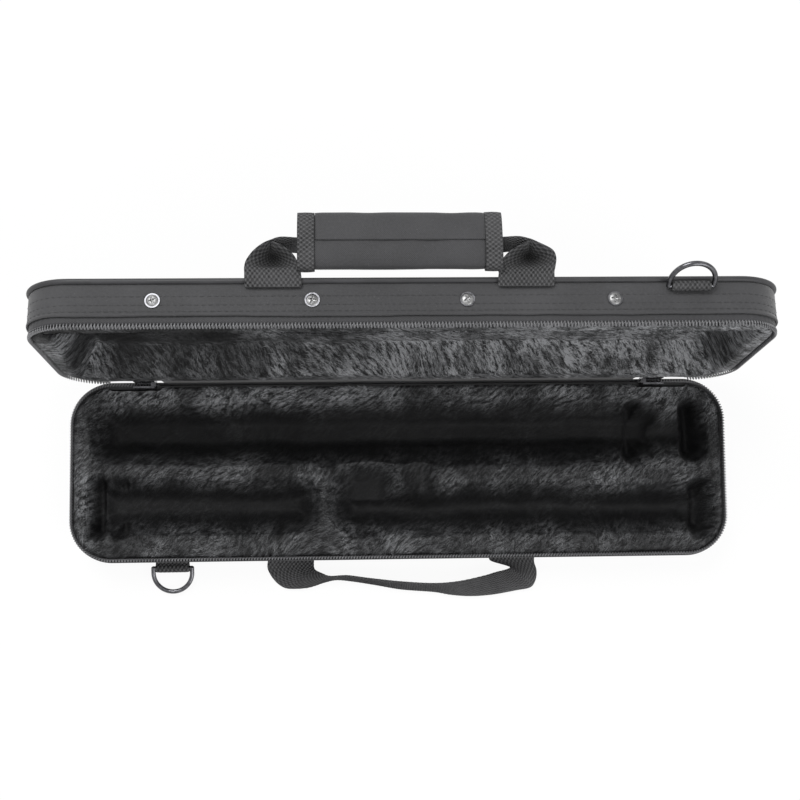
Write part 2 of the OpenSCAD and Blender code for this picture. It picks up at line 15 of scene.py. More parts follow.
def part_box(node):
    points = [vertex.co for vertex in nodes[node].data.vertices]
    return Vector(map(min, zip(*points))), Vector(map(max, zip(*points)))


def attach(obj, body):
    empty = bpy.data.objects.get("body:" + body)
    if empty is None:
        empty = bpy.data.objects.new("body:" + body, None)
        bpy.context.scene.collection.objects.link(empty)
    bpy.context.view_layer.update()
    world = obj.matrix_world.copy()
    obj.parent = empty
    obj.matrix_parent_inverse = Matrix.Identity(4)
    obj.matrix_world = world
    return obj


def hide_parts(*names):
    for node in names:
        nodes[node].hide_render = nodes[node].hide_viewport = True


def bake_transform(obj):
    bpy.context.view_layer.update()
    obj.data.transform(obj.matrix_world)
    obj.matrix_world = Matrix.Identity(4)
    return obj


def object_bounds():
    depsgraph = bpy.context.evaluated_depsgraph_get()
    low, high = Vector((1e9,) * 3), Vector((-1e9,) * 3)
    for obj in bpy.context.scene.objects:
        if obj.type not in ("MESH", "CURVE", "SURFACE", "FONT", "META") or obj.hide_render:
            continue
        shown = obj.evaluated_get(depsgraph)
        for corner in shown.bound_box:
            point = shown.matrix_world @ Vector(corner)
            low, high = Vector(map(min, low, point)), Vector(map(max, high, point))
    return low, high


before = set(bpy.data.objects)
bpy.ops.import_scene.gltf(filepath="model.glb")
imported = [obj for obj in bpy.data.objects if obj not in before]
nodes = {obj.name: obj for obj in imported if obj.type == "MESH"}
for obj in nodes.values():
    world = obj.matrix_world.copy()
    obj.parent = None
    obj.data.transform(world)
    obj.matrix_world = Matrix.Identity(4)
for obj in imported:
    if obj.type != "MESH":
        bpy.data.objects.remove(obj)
cad_low, cad_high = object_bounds()
MM = 0.001

# %% [markdown]
# The two halves of the case are the same tray, so everything is drawn once in a half frame, as the CAD does:
# x along the case, y towards the hinge, and d, the depth behind the rim plane. Two small functions place such
# points: the tray faces up, and the lid is turned back about the upper fold line of its fabric hinge. All
# sizes here are in millimetres, and a mesh is scaled to metres when it is made. The main sizes are read from
# the frame's own boxes.

# %% The half frame
low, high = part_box("tray_wall_cover")
HALF_L = high.x / MM - 0.35
HALF_W = -low.y / MM - 0.35
CORNER_R = 26.0
TRAY_H = 29.0
LID_H = 28.5
LID_OPEN = math.radians(100)
FOLD_Y = HALF_W + 0.5
FOLD_Z = TRAY_H + 3.5
FOLD_D = 7.6


def on_tray(p):
    """Half frame to row frame, for the tray."""
    p = np.asarray(p, float)
    return np.stack([p[..., 0], p[..., 1], TRAY_H - p[..., 2]], -1)


def on_lid(p):
    """Half frame to row frame, for the lid as it stands open."""
    p = np.asarray(p, float)
    y, z = p[..., 1] - FOLD_Y, TRAY_H + p[..., 2] - FOLD_Z
    c, s = math.cos(-LID_OPEN), math.sin(-LID_OPEN)
    return np.stack([p[..., 0], FOLD_Y + y * c - z * s, FOLD_Z + y * s + z * c], -1)


print("half frame:", round(HALF_L, 2), "by", round(HALF_W, 2), "mm")

# %% [markdown]
# A soft surface is never even. Lumps are value noise: random heights on a coarse lattice, joined smoothly.
# The lattice comes from a seed, so every run gives the same plush.

# %% Lumps
def lumps(x, y, size, seed):
    """Smooth noise from -1 to 1 at points x, y, with lumps about size across."""
    rng = np.random.default_rng(seed)
    grid = rng.uniform(-1, 1, (257, 257))
    u, v = np.asarray(x) / size + 100.5, np.asarray(y) / size + 100.5
    i, j = np.floor(u).astype(int), np.floor(v).astype(int)
    a, b = u - i, v - j
    a, b = a * a * (3 - 2 * a), b * b * (3 - 2 * b)
    i, j = i % 256, j % 256
    near = grid[i, j] * (1 - a) + grid[i + 1, j] * a
    far = grid[i, j + 1] * (1 - a) + grid[i + 1, j + 1] * a
    return near * (1 - b) + far * b


def ease(lo, hi, v):
    """Smooth step from 0 at lo to 1 at hi; with lo above hi it falls instead."""
    t = np.clip((v - lo) / (hi - lo), 0, 1)
    return t * t * (3 - 2 * t)


# %% [markdown]
# Every drawn piece is a grid of points, open or closed along each side. One function turns such a grid into a
# mesh with a map in millimetres, called thread, that the woven materials read, so that a weave has its true
# pitch and runs along the cloth. It also puts the piece on its body, and hides the CAD nodes that it stands
# for.

# %% Grid to mesh
def add_mesh(name, points, faces, body, material, thread=None, tone=None, stands_for=(), slot=None):
    """One smooth piece from points in mm, with its map and tone, its body and the CAD nodes it stands for."""
    mesh = bpy.data.meshes.new(name)
    mesh.from_pydata((np.asarray(points) * MM).tolist(), [], [list(map(int, f)) for f in faces])
    mesh.update()
    if thread is not None:
        layer = mesh.uv_layers.new(name="thread")
        loops = np.zeros(len(mesh.loops), int)
        mesh.loops.foreach_get("vertex_index", loops)
        layer.data.foreach_set("uv", np.asarray(thread, np.float32)[loops].ravel())
    if tone is not None:
        layer = mesh.attributes.new("tone", "FLOAT", "POINT")
        layer.data.foreach_set("value", np.asarray(tone, np.float32).ravel())
    mesh.polygons.foreach_set("use_smooth", np.ones(len(mesh.polygons), bool))
    mesh.materials.append(material)
    obj = bpy.data.objects.new(name, mesh)
    bpy.context.scene.collection.objects.link(obj)
    if body:
        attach(obj, body)
    if stands_for:
        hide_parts(*stands_for)
    return obj


def grid_faces(rows, cols, round_rows=False, round_cols=False, caps=False, flip=False):
    """Quads over a rows by cols grid of points; round_ joins the last line to the first."""
    last_row, last_col = rows if round_rows else rows - 1, cols if round_cols else cols - 1
    i, j = [k.ravel() for k in np.meshgrid(np.arange(last_row), np.arange(last_col), indexing="ij")]
    i2, j2 = (i + 1) % rows, (j + 1) % cols
    quads = np.stack([i * cols + j, i * cols + j2, i2 * cols + j2, i2 * cols + j], 1)
    faces = [list(q) for q in (quads[:, ::-1] if flip else quads)]
    if caps:
        first, last = list(range(cols)), list(range((rows - 1) * cols, rows * cols))
        faces += [first, last[::-1]] if flip else [first[::-1], last]
    return faces


def lengths(p):
    """Length run along the first side of a grid of points, in mm."""
    step = np.linalg.norm(np.diff(p, axis=0), axis=-1)
    return np.concatenate([np.zeros((1,) + step.shape[1:]), np.cumsum(step, 0)])


def unit(v):
    """Rows of v, each made one long."""
    return v / np.linalg.norm(v, axis=1)[:, None]


def at_lengths(at, run, values):
    """Values at lengths along a path, where run is the length at each of its points."""
    return np.stack([np.interp(at, run, values[:, k]) for k in range(values.shape[1])], 1)


def thread_map(along, across):
    """Map of a woven grid in mm: how far each row lies along the cloth, and each column across it."""
    return np.stack(np.broadcast_arrays(along[:, None], across[None, :]), -1).reshape(-1, 2)


# %% [markdown]
# Cover, tape, piping and coil all follow the outline of the case: straight sides with round corners. This
# walks along it and returns, for even steps, the place on the outline, the direction outwards, and the length
# so far. A walk with a gap starts and ends on the hinge side, where the zip stops.

# %% Outline of the case
def outline(step, gap_end=None):
    """Walk by the right, the front and the left: places, outward directions and lengths so far."""
    l, w, r = HALF_L, HALF_W, CORNER_R
    start = gap_end or 0.0
    sides = [("line", (start, w), (l - r, w), (0, 1)), ("arc", (l - r, w - r), 90, None),
             ("line", (l, w - r), (l, r - w), (1, 0)), ("arc", (l - r, r - w), 0, None),
             ("line", (l - r, -w), (r - l, -w), (0, -1)), ("arc", (r - l, r - w), -90, None),
             ("line", (-l, r - w), (-l, w - r), (-1, 0)), ("arc", (r - l, w - r), -180, None),
             ("line", (r - l, w), (-start, w), (0, 1))]
    places, outward = [], []
    for kind, a, b, n in sides:
        if kind == "line":
            count = max(1, round(math.dist(a, b) / step))
            t = np.arange(count) / count
            places += [np.array(a) * (1 - k) + np.array(b) * k for k in t]
            outward += [np.array(n, float)] * count
        else:
            count = max(6, round(r * math.pi / 2 / step))
            for k in range(count):
                angle = math.radians(b - 90 * k / count)
                n = np.array([math.cos(angle), math.sin(angle)])
                places.append(np.array(a) + r * n)
                outward.append(n)
    if gap_end:
        places.append(np.array([-start, w]))
        outward.append(np.array([0.0, 1.0]))
    places, outward = np.array(places), np.array(outward)
    return places, outward, lengths(places)


def sweep(name, profile, place, body, material, step=2.0, gap_end=None, waver=None, **more):
    """A closed profile of (inset, depth) points carried round the outline, and moved there by waver."""
    places, outward, run = outline(step, gap_end)
    profile = np.array(profile, float)
    inset = np.tile(profile[:, 0], (len(places), 1))
    depth = np.tile(profile[:, 1], (len(places), 1))
    if waver:
        inset, depth = waver(run[:, None], inset, depth)
    xy = places[:, None, :] - outward[:, None, :] * inset[..., None]
    grid = np.concatenate([xy, depth[..., None]], -1)
    rows, cols = grid.shape[:2]
    faces = grid_faces(rows, cols, round_rows=gap_end is None, round_cols=True, caps=gap_end is not None,
                       flip=place is on_lid)
    thread = thread_map(run, lengths(profile))
    add_mesh(name, place(grid.reshape(-1, 3)), faces, body, material, thread=thread, **more)
    print(name, rows * cols, "points")


# %% [markdown]
# Finishes come next. An effect that several materials share is a node group: it takes numbers, and gives out
# only colours, masks or heights, while the Principled shader stays in each material. A small helper lays out
# the nodes, so that a finish reads as a short list of steps.

# %% Node helpers
class Net:
    """Nodes of a material or a group, added one by one."""

    def __init__(self, tree):
        self.tree, self.count = tree, 0

    def add(self, kind, inputs=None, **settings):
        """A node with its settings, and its inputs linked or set."""
        node = self.tree.nodes.new(kind)
        node.location = (180 * (self.count % 8), -220 * (self.count // 8))
        self.count += 1
        for key, value in settings.items():
            setattr(node, key, value)
        for key, value in (inputs or {}).items():
            self.feed(node.inputs[key], value)
        return node

    def feed(self, socket, value):
        """Link a node's output to a socket, or set the socket's own value."""
        if isinstance(value, bpy.types.NodeSocket):
            self.tree.links.new(value, socket)
        else:
            socket.default_value = value

    def maths(self, operation, a, b=0.0, clamp=False):
        return self.add("ShaderNodeMath", {0: a, 1: b}, operation=operation, use_clamp=clamp).outputs[0]

    def remap(self, value, lo, hi, to_lo=0.0, to_hi=1.0):
        """Smooth step of a value between lo and hi."""
        return self.add("ShaderNodeMapRange", {0: value, 1: lo, 2: hi, 3: to_lo, 4: to_hi},
                        interpolation_type="SMOOTHSTEP").outputs[0]

    def mix(self, factor, a, b):
        """Blend of two colours, each one an output or three numbers."""
        node = self.add("ShaderNodeMix", {"Factor": factor}, data_type="RGBA")
        for socket, value in ((node.inputs[6], a), (node.inputs[7], b)):
            self.feed(socket, value if isinstance(value, bpy.types.NodeSocket) else (*value, 1))
        return node.outputs[2]

    def noise(self, vector, scale, detail=3.0, rough=0.5):
        return self.add("ShaderNodeTexNoise", {"Vector": vector, "Scale": scale, "Detail": detail,
                                               "Roughness": rough}).outputs["Fac"]


def new_group(name, inputs, outputs):
    """An empty shader group with named sockets: inputs {name: (kind, default)}, outputs {name: kind}."""
    group = bpy.data.node_groups.new(name, "ShaderNodeTree")
    for key, (kind, default) in inputs.items():
        socket = group.interface.new_socket(name=key, in_out="INPUT", socket_type=kind)
        if default is not None:
            socket.default_value = default
    for key, kind in outputs.items():
        group.interface.new_socket(name=key, in_out="OUTPUT", socket_type=kind)
    net = Net(group)
    return net, net.add("NodeGroupInput").outputs, net.add("NodeGroupOutput")


FLOAT, VECTOR = "NodeSocketFloat", "NodeSocketVector"

# %% [markdown]
# Woven goods: the cover, the webbing and the tapes are all threads that pass over and under. Seen close, that
# is a chequer of small raised dots. The group makes the dots from two waves, with the pitch of the cloth as
# an input, and lets the yarn's brightness wander a little, as real yarn does.

# %% Weave group
net, into, out = new_group("weave", {"Thread": (VECTOR, None), "Pitch along": (FLOAT, 1.0),
                                     "Pitch across": (FLOAT, 1.0)}, {"Height": FLOAT, "Yarn": FLOAT})
parts = net.add("ShaderNodeSeparateXYZ", {0: into["Thread"]}).outputs
along = net.maths("MULTIPLY", net.maths("DIVIDE", parts[0], into["Pitch along"]), math.pi)
across = net.maths("MULTIPLY", net.maths("DIVIDE", parts[1], into["Pitch across"]), math.pi)
dots = net.maths("MULTIPLY", net.maths("SINE", along), net.maths("SINE", across))
height = net.remap(dots, -1.0, 1.0)
yarn = net.noise(into["Thread"], 0.9, 2.0)
net.feed(out.inputs["Height"], height)
net.feed(out.inputs["Yarn"], net.remap(yarn, 0.3, 0.7))
print("group weave:", len(net.tree.nodes), "nodes")

# %% [markdown]
# Handling leaves pale rubbed patches and specks of lint on black cloth, and bare spots on plated metal. One
# group gives both: Rubbed is a soft cloudy mask, Specks a scatter of small points.

# %% Wear group
net, into, out = new_group("wear", {"Place": (VECTOR, None), "Cloud size": (FLOAT, 30.0),
                                    "Speck size": (FLOAT, 1200.0)}, {"Rubbed": FLOAT, "Specks": FLOAT})
cloud = net.noise(into["Place"], into["Cloud size"], 5.0, 0.6)
cells = net.add("ShaderNodeTexVoronoi", {"Vector": into["Place"], "Scale": into["Speck size"]},
                feature="F1").outputs["Distance"]
rare = net.noise(into["Place"], net.maths("MULTIPLY", into["Speck size"], 0.3), 1.0)
specks = net.maths("MULTIPLY", net.remap(cells, 0.22, 0.1), net.remap(rare, 0.6, 0.72))
net.feed(out.inputs["Rubbed"], net.remap(cloud, 0.35, 0.75))
net.feed(out.inputs["Specks"], specks)
print("group wear:", len(net.tree.nodes), "nodes")

# %% [markdown]
# Plush is a field of short fibres that lie over in tufts. Fibres make fine streaks along the way they lie,
# and the way they lie drifts, so the streaks bend. The group stretches a fine noise along one direction after
# bending the coordinates with a coarse one. Streaks is the light and dark of single tufts, Drift that of
# whole brushed areas; in the plush's colour both are painted sheen.

# %% Pile group
net, into, out = new_group("pile", {"Place": (VECTOR, None), "Across": (FLOAT, 2.1), "Along": (FLOAT, 0.62),
                                    "Bend": (FLOAT, 3.0)},
                           {"Streaks": FLOAT, "Drift": FLOAT, "Height": FLOAT})
bend = net.add("ShaderNodeTexNoise", {"Vector": into["Place"], "Scale": 0.06, "Detail": 2.0}).outputs["Color"]
bend = net.add("ShaderNodeVectorMath", {0: bend, 1: (0.5, 0.5, 0.5)}, operation="SUBTRACT").outputs[0]
bend = net.add("ShaderNodeVectorMath", {0: bend, "Scale": into["Bend"]}, operation="SCALE").outputs[0]
bent = net.add("ShaderNodeVectorMath", {0: into["Place"], 1: bend}, operation="ADD").outputs[0]
scale = net.add("ShaderNodeCombineXYZ", {0: into["Across"], 1: into["Along"], 2: into["Along"]}).outputs[0]
long_way = net.add("ShaderNodeVectorMath", {0: bent, 1: scale}, operation="MULTIPLY").outputs[0]
fibres = net.noise(long_way, 1.0, 3.0, 0.65)
tufts = net.noise(long_way, 0.3, 2.0, 0.5)
drift = net.noise(into["Place"], 0.04, 3.0, 0.55)
streaks = net.maths("MULTIPLY", fibres, net.remap(tufts, 0.2, 0.8, 0.6, 1.4))
net.feed(out.inputs["Streaks"], net.remap(streaks, 0.3, 0.78))
net.feed(out.inputs["Drift"], net.remap(drift, 0.36, 0.66))
net.feed(out.inputs["Height"], fibres)
print("group pile:", len(net.tree.nodes), "nodes")


# %% [markdown]
# Each finish is a short function of its own values. Woven goods share one recipe with different pitch, colour
# and sheen; sheen is what gives black yarn its grey look where light skims over it.

# %% Material helper
def new_material(name, **plain):
    """A material, its nodes and its shader; plain numbers go to the shader's sockets of the same names."""
    material = bpy.data.materials.new(name)
    material.use_nodes = True
    net = Net(material.node_tree)
    material.node_tree.nodes.clear()
    shader = net.add("ShaderNodeBsdfPrincipled")
    target = net.add("ShaderNodeOutputMaterial", {"Surface": shader.outputs[0]})
    target.location = (1600, 0)
    for key, value in plain.items():
        shader.inputs[key.replace("_", " ").title().replace("Ior", "IOR")].default_value = value
    return material, net, shader


def group_in(net, name, inputs):
    """Outputs of a shared group, put among a material's nodes."""
    return net.add("ShaderNodeGroup", inputs, node_tree=bpy.data.node_groups[name]).outputs


def put_bump(net, shader, height, depth):
    """Bump from a height of 0 to 1, where depth is how far 1 stands out, in metres."""
    bump = net.add("ShaderNodeBump", {"Height": height, "Distance": depth, "Strength": 1.0})
    net.feed(shader.inputs["Normal"], bump.outputs[0])


WORN = 0.35
LINT = (0.25, 0.25, 0.26)
MATT, SHINE = 0.8, 0.18


def woven(name, dark, light, pitch, depth, sheen, own_map=True, gloss=0.4):
    """Cloth of raised dots: dark between threads, light on them, rubbed paler in places, painted shade in
    hollows.
    """
    material, net, shader = new_material(name, sheen_weight=sheen, sheen_roughness=0.45,
                                         specular_ior_level=gloss)
    coords = net.add("ShaderNodeTexCoord").outputs
    if own_map:
        threads = coords["UV"]
    else:
        threads = net.add("ShaderNodeVectorMath", {0: coords["Object"], "Scale": 1 / MM},
                          operation="SCALE").outputs[0]
    weave = group_in(net, "weave", {"Thread": threads, "Pitch along": pitch[0], "Pitch across": pitch[1]})
    wear = group_in(net, "wear", {"Place": coords["Object"]})
    tone = net.mix(weave["Height"], dark, light)
    paler = (weave["Yarn"], [c * 1.5 for c in light]), (wear["Rubbed"], [c * 1.7 for c in light])
    for mask, colour in (*paler, (wear["Specks"], LINT)):
        tone = net.mix(net.maths("MULTIPLY", mask, WORN), tone, colour)
    # Painted shade: a strap's tone attribute, high in its hollow, darkens the cloth to a third of its dark
    # colour.
    painted_shade = net.add("ShaderNodeAttribute", attribute_name="tone").outputs["Fac"]
    tone = net.mix(net.maths("MULTIPLY", painted_shade, 0.85, clamp=True), tone, [c * 0.3 for c in dark])
    net.feed(shader.inputs["Base Color"], tone)
    net.feed(shader.inputs["Roughness"], net.remap(weave["Height"], 0.0, 1.0, MATT, MATT - SHINE))
    put_bump(net, shader, weave["Height"], depth)
    return material


def worn(net, cloud, speck):
    """Masks of the wear group in the object's own space."""
    place = net.add("ShaderNodeTexCoord").outputs["Object"]
    return group_in(net, "wear", {"Place": place, "Cloud size": cloud, "Speck size": speck})


def metal(name, colour, rubbed, rough):
    """Plated metal, with paler rubbed clouds and small dark pits."""
    material, net, shader = new_material(name, metallic=1.0)
    wear = worn(net, 260.0, 2600.0)
    tone = net.mix(wear["Rubbed"], colour, rubbed)
    tone = net.mix(net.maths("MULTIPLY", wear["Specks"], 0.7), tone, [c * 0.3 for c in colour])
    net.feed(shader.inputs["Base Color"], tone)
    net.feed(shader.inputs["Roughness"], net.remap(wear["Rubbed"], 0.0, 1.0, rough, rough + 0.14))
    put_bump(net, shader, wear["Rubbed"], 0.04 * MM)
    return material


def moulded(name, colour, rough, sheen=0.0, gloss=0.5):
    """Plain moulded or coated stuff: fine grain, a little uneven gloss."""
    material, net, shader = new_material(name, sheen_weight=sheen, specular_ior_level=gloss)
    wear = worn(net, 90.0, 1800.0)
    tone = net.mix(wear["Rubbed"], colour, [c * 1.35 for c in colour])
    tone = net.mix(net.maths("MULTIPLY", wear["Specks"], 0.5), tone, [c * 2.2 for c in colour])
    net.feed(shader.inputs["Base Color"], tone)
    net.feed(shader.inputs["Roughness"], net.remap(wear["Rubbed"], 0.0, 1.0, rough, rough + 0.12))
    put_bump(net, shader, wear["Rubbed"], 0.03 * MM)
    return material


def plush(name, dark, light):
    """Short black pile: its grey streaks are painted sheen, scaled by a tone attribute with painted light and
    shade.
    """
    material, net, shader = new_material(name, sheen_weight=0.03, sheen_roughness=0.35, roughness=0.6,
                                         specular_ior_level=0.18)
    place = net.add("ShaderNodeTexCoord").outputs["UV"]
    pile = group_in(net, "pile", {"Place": place})
    tone_with_painted_light_and_shade = net.add("ShaderNodeAttribute", attribute_name="tone").outputs["Fac"]
    lit = net.maths("MULTIPLY", pile["Streaks"], net.remap(pile["Drift"], 0.0, 1.0, 0.35, 1.0))
    lit = net.maths("MULTIPLY", lit, tone_with_painted_light_and_shade, clamp=True)
    # Colour from near black to the grey of painted sheen, by the streaks and the tone's painted light and
    # shade.
    net.feed(shader.inputs["Base Color"], net.mix(lit, dark, light))
    put_bump(net, shader, pile["Height"], 0.6 * MM)
    return material


WEB_PITCH = (1.55, 1.25)
COVER_PITCH = (0.42, 0.42)
WRAP_PITCH = (0.5, 0.5)
TAPE_PITCH = (0.8, 0.5)
charcoal, grey_thread = (0.012, 0.012, 0.013), (0.034, 0.034, 0.036)
soft_black = (0.010, 0.010, 0.011)
cover_cloth = woven("cover_cloth", charcoal, grey_thread, COVER_PITCH, 0.06 * MM, 0.25)
panel_cloth = woven("panel_cloth", charcoal, grey_thread, COVER_PITCH, 0.06 * MM, 0.25, own_map=False)
wrap_cloth = woven("wrap_cloth", soft_black, (0.030, 0.030, 0.032), WRAP_PITCH, 0.05 * MM, 0.2)
webbing = woven("webbing", (0.0015, 0.0015, 0.0016), (0.07, 0.07, 0.072), WEB_PITCH, 0.6 * MM, 0.03,
                gloss=0.15)
zip_tape_cloth = woven("zip_tape_cloth", charcoal, (0.026, 0.026, 0.028), TAPE_PITCH, 0.04 * MM, 0.15)
hinge_cloth = woven("hinge_cloth", soft_black, (0.026, 0.026, 0.027), WRAP_PITCH, 0.05 * MM, 0.2)
piping_skin = moulded("piping_skin", (0.03, 0.03, 0.032), 0.45, 0.03, gloss=0.28)
coil_nylon = moulded("coil_nylon", (0.11, 0.11, 0.115), 0.3)
thread_black = moulded("thread_black", (0.02, 0.02, 0.021), 0.55)
board_grey = moulded("board_grey", (0.03, 0.03, 0.031), 0.85)
hook_tape = moulded("hook_tape", (0.02, 0.02, 0.02), 0.7)
nickel = metal("nickel", (0.15, 0.15, 0.15), (0.3, 0.3, 0.3), 0.33)
gunmetal = metal("gunmetal", (0.075, 0.075, 0.08), (0.16, 0.16, 0.17), 0.22)
# The plush's grey is painted sheen: the light that black fibres give back where it skims them.
black_plush = plush("black_plush", (0.003, 0.003, 0.0033), (0.26, 0.265, 0.275))
print("materials:", len(bpy.data.materials))

# %% [markdown]
# The woven cover is glued over the board wall. At the piping it dives into a seam, and over the zip its edge
# is folded and stitched, so that edge is round, stands a little proud and wavers. The profile is drawn as a
# closed section and carried round the outline. The tape under it is a flat band that puckers between its
# stitches.

# %% Cover and tape
def cover_profile(height):
    """Section of a woven cover from the seam at the piping up to the fold over the zip, and back inside."""
    seam = height - 3.3
    outside = [(0.45, seam), (0.1, seam - 0.8), (0.0, seam - 2.2), (0.0, FOLD_D + 3.2), (0.12, FOLD_D + 2.5),
               (0.0, FOLD_D + 1.9), (-0.3, FOLD_D + 1.2), (-0.35, FOLD_D + 0.5), (-0.1, FOLD_D)]
    inside = [(0.5, FOLD_D), (0.9, FOLD_D + 0.5), (1.15, FOLD_D + 1.6), (1.15, seam)]
    return outside + inside


def cover_waver(run, inset, depth):
    """The fold wavers by half a millimetre, and the wall has shallow dents of a third of one."""
    at_fold = ease(FOLD_D + 6, FOLD_D, depth)
    depth = depth + at_fold * 0.5 * (lumps(run, 0 * run, 34, 3) + 0.5 * lumps(run, 0 * run, 11, 4))
    hollow = ease(FOLD_D + 1, FOLD_D + 5, depth) * ease(26, 21, depth)
    return inset + hollow * 0.16 * (1 + lumps(run, depth, 17, 5)) * (inset < 0.6), depth


tape_profile = [(1.25, 3.6), (1.2, 5.2), (1.22, 7), (1.25, 11.8), (1.85, 11.8), (1.8, 7), (1.8, 3.6)]
PUCKER_EVERY, PUCKER = 3.6, 0.12


def tape_waver(run, inset, depth):
    """The tape puckers between its stitches, but is flat under the coil and under the cover."""
    pucker = PUCKER * np.sin(run * 2 * math.pi / PUCKER_EVERY)
    return inset + pucker * ease(3.4, 6, depth) * ease(9, 7, depth), depth


# The tape of both halves runs on behind the parked sliders. The lid's coil starts beyond them, so that they
# hold the tray's side alone.
SLIDER_X, SLIDER_L = 158.0, 13.0
tray_zip_end = SLIDER_X - SLIDER_L / 2 - 1
lid_zip_end = HALF_L - CORNER_R - 1
for half, place, height in (("tray", on_tray, TRAY_H), ("lid", on_lid, LID_H)):
    sweep(half + "_cover", cover_profile(height), place, half, cover_cloth, step=2.0, waver=cover_waver,
          stands_for=[half + "_wall_cover"], slot="woven_fabric")
for half, place in (("tray", on_tray), ("lid", on_lid)):
    sweep(half + "_tape", tape_profile, place, half, zip_tape_cloth, step=0.9, gap_end=tray_zip_end,
          waver=tape_waver, stands_for=[half + "_zip_tape"], slot="webbing")


# %% [markdown]
# A row of nylon coil is one stiff thread wound into flat loops. Drawn as such, a helix with an oval turn that
# follows the outline, it shows the small strokes of a real zip from every side, which a bump on a plain band
# cannot. The tube along the helix is swept with frames taken from its own tangent.

# %% Coil
def tube(centre, radius, sides):
    """Rings of points round a path."""
    tangent = unit(np.gradient(centre, axis=0))
    side = np.cross(tangent, [0.0, 0.0, 1.0])
    small = np.linalg.norm(side, axis=1) < 0.15
    side[small] = np.cross(tangent[small], [1.0, 0.0, 0.0])
    side = unit(side)
    up = np.cross(side, tangent)
    a = np.arange(sides) * 2 * math.pi / sides
    ring = np.cos(a)[None, :, None] * side[:, None] + np.sin(a)[None, :, None] * up[:, None]
    return centre[:, None] + ring * radius


COIL_PITCH = 1.8
COIL_LOW, COIL_HIGH = 0.8, 4.4
COIL_INSET, COIL_HALF_T = 1.6, 1.0
WIRE_R, WIRE_SIDES = 0.41, 6
TURN_POINTS = 14
STROKE_LEAN = 0.14


def coil(half, place, end):
    """One half's row of coil, from its end on the hinge side round the case to the other end."""
    places, outward, run = outline(1.0, end)
    turns = int(run[-1] / COIL_PITCH)
    t = np.linspace(0, turns, turns * TURN_POINTS + 1)
    turn = 2 * math.pi * t
    at = (t - STROKE_LEAN * np.sin(turn)) * COIL_PITCH
    n = unit(at_lengths(at, run, outward))
    inset = COIL_INSET - (COIL_HALF_T - WIRE_R) * np.cos(turn)
    middle, reach = (COIL_LOW + COIL_HIGH) / 2, (COIL_HIGH - COIL_LOW) / 2 - WIRE_R
    depth = middle + reach * np.sin(turn)
    centre = np.concatenate([at_lengths(at, run, places) - n * inset[:, None], depth[:, None]], 1)
    rings = tube(centre, WIRE_R, WIRE_SIDES)
    faces = grid_faces(len(rings), WIRE_SIDES, round_cols=True, caps=True, flip=place is on_lid)
    add_mesh(half + "_coil", place(rings.reshape(-1, 3)), faces, half, coil_nylon,
             stands_for=[half + "_zip_coil"], slot="coil_plastic")
    print(half + "_coil", turns, "turns")


coil("tray", on_tray, tray_zip_end)
coil("lid", on_lid, lid_zip_end)


# %% [markdown]
# Rows of lockstitch run round each cover: two on the tray, and three on the lid, where two of them pass
# either side of the screws. A stitch is a short bead of thread that dips into the cloth at both ends. The
# stitches are real geometry, joined into one piece for each half.

# %% Stitches
def beads(starts, ends, outwards, radius, rings=5, sides=6):
    """Small spindles from starts to ends, bulging outwards in the middle."""
    k = np.linspace(0, 1, rings)
    fat = np.sqrt(np.clip(1 - (2 * k - 1) ** 2, 0.12, 1))
    centre = starts[:, None] * (1 - k)[None, :, None] + ends[:, None] * k[None, :, None]
    centre = centre + outwards[:, None] * (radius * 0.7 * (fat - 0.5))[None, :, None]
    across = np.cross(unit(ends - starts), outwards)
    a = np.arange(sides) * 2 * math.pi / sides
    ring = np.cos(a)[None, :, None] * across[:, None] + np.sin(a)[None, :, None] * outwards[:, None]
    points = centre[:, :, None] + (radius * fat)[None, :, None, None] * ring[:, None]
    faces = []
    for b in range(len(starts)):
        base = b * rings * sides
        faces += [[base + v for v in f] for f in grid_faces(rings, sides, round_cols=True, caps=True)]
    return points.reshape(-1, 3), faces


STITCH, STITCH_GAP, THREAD_R, THREAD_SINK = 2.6, 1.1, 0.2, 0.1


def wall_stitches(half, place, depths):
    """Rows of stitches round one half's wall, at the given depths behind the rim."""
    places, outward, run = outline(1.0)
    points, faces = [], []
    for row, d in enumerate(depths):
        at = np.arange(0.5 + row, run[-1] - STITCH, STITCH + STITCH_GAP)
        flat = np.zeros((len(at), 1))
        n = np.concatenate([at_lengths(at, run, outward), flat], 1)
        spots = [np.concatenate([at_lengths(s, run, places), flat + d], 1) - n * THREAD_SINK
                 for s in (at, at + STITCH)]
        p, f = beads(*spots, n, THREAD_R)
        before = sum(map(len, points))
        faces += [[v + before for v in q] for q in f]
        points.append(p)
    add_mesh(half + "_stitches", place(np.concatenate(points)), faces, half, thread_black)
    print(half + "_stitches", len(faces), "faces")


wall_stitches("tray", on_tray, (FOLD_D + 2.5, 18.2))
wall_stitches("lid", on_lid, (FOLD_D + 2.5, 13.6, 18.4))

# %% [markdown]
# The plush insert is one soft surface over moulded foam. It is drawn as a depth over a grid: the lands lie
# just under the rim, and each pocket takes a scoop out of them, with a round floor, rolled lips and soft
# ends. The grid follows the rounded outline, because each row of points is squeezed to the width that the
# case has there.

# %% Plush grid
INSERT_IN = 2.85
LAND_D, FLOOR_D = 3.0, 23.0
ROLL_R = 2.4
BOWL_R = 14.0
SKIRT_D = 5.7


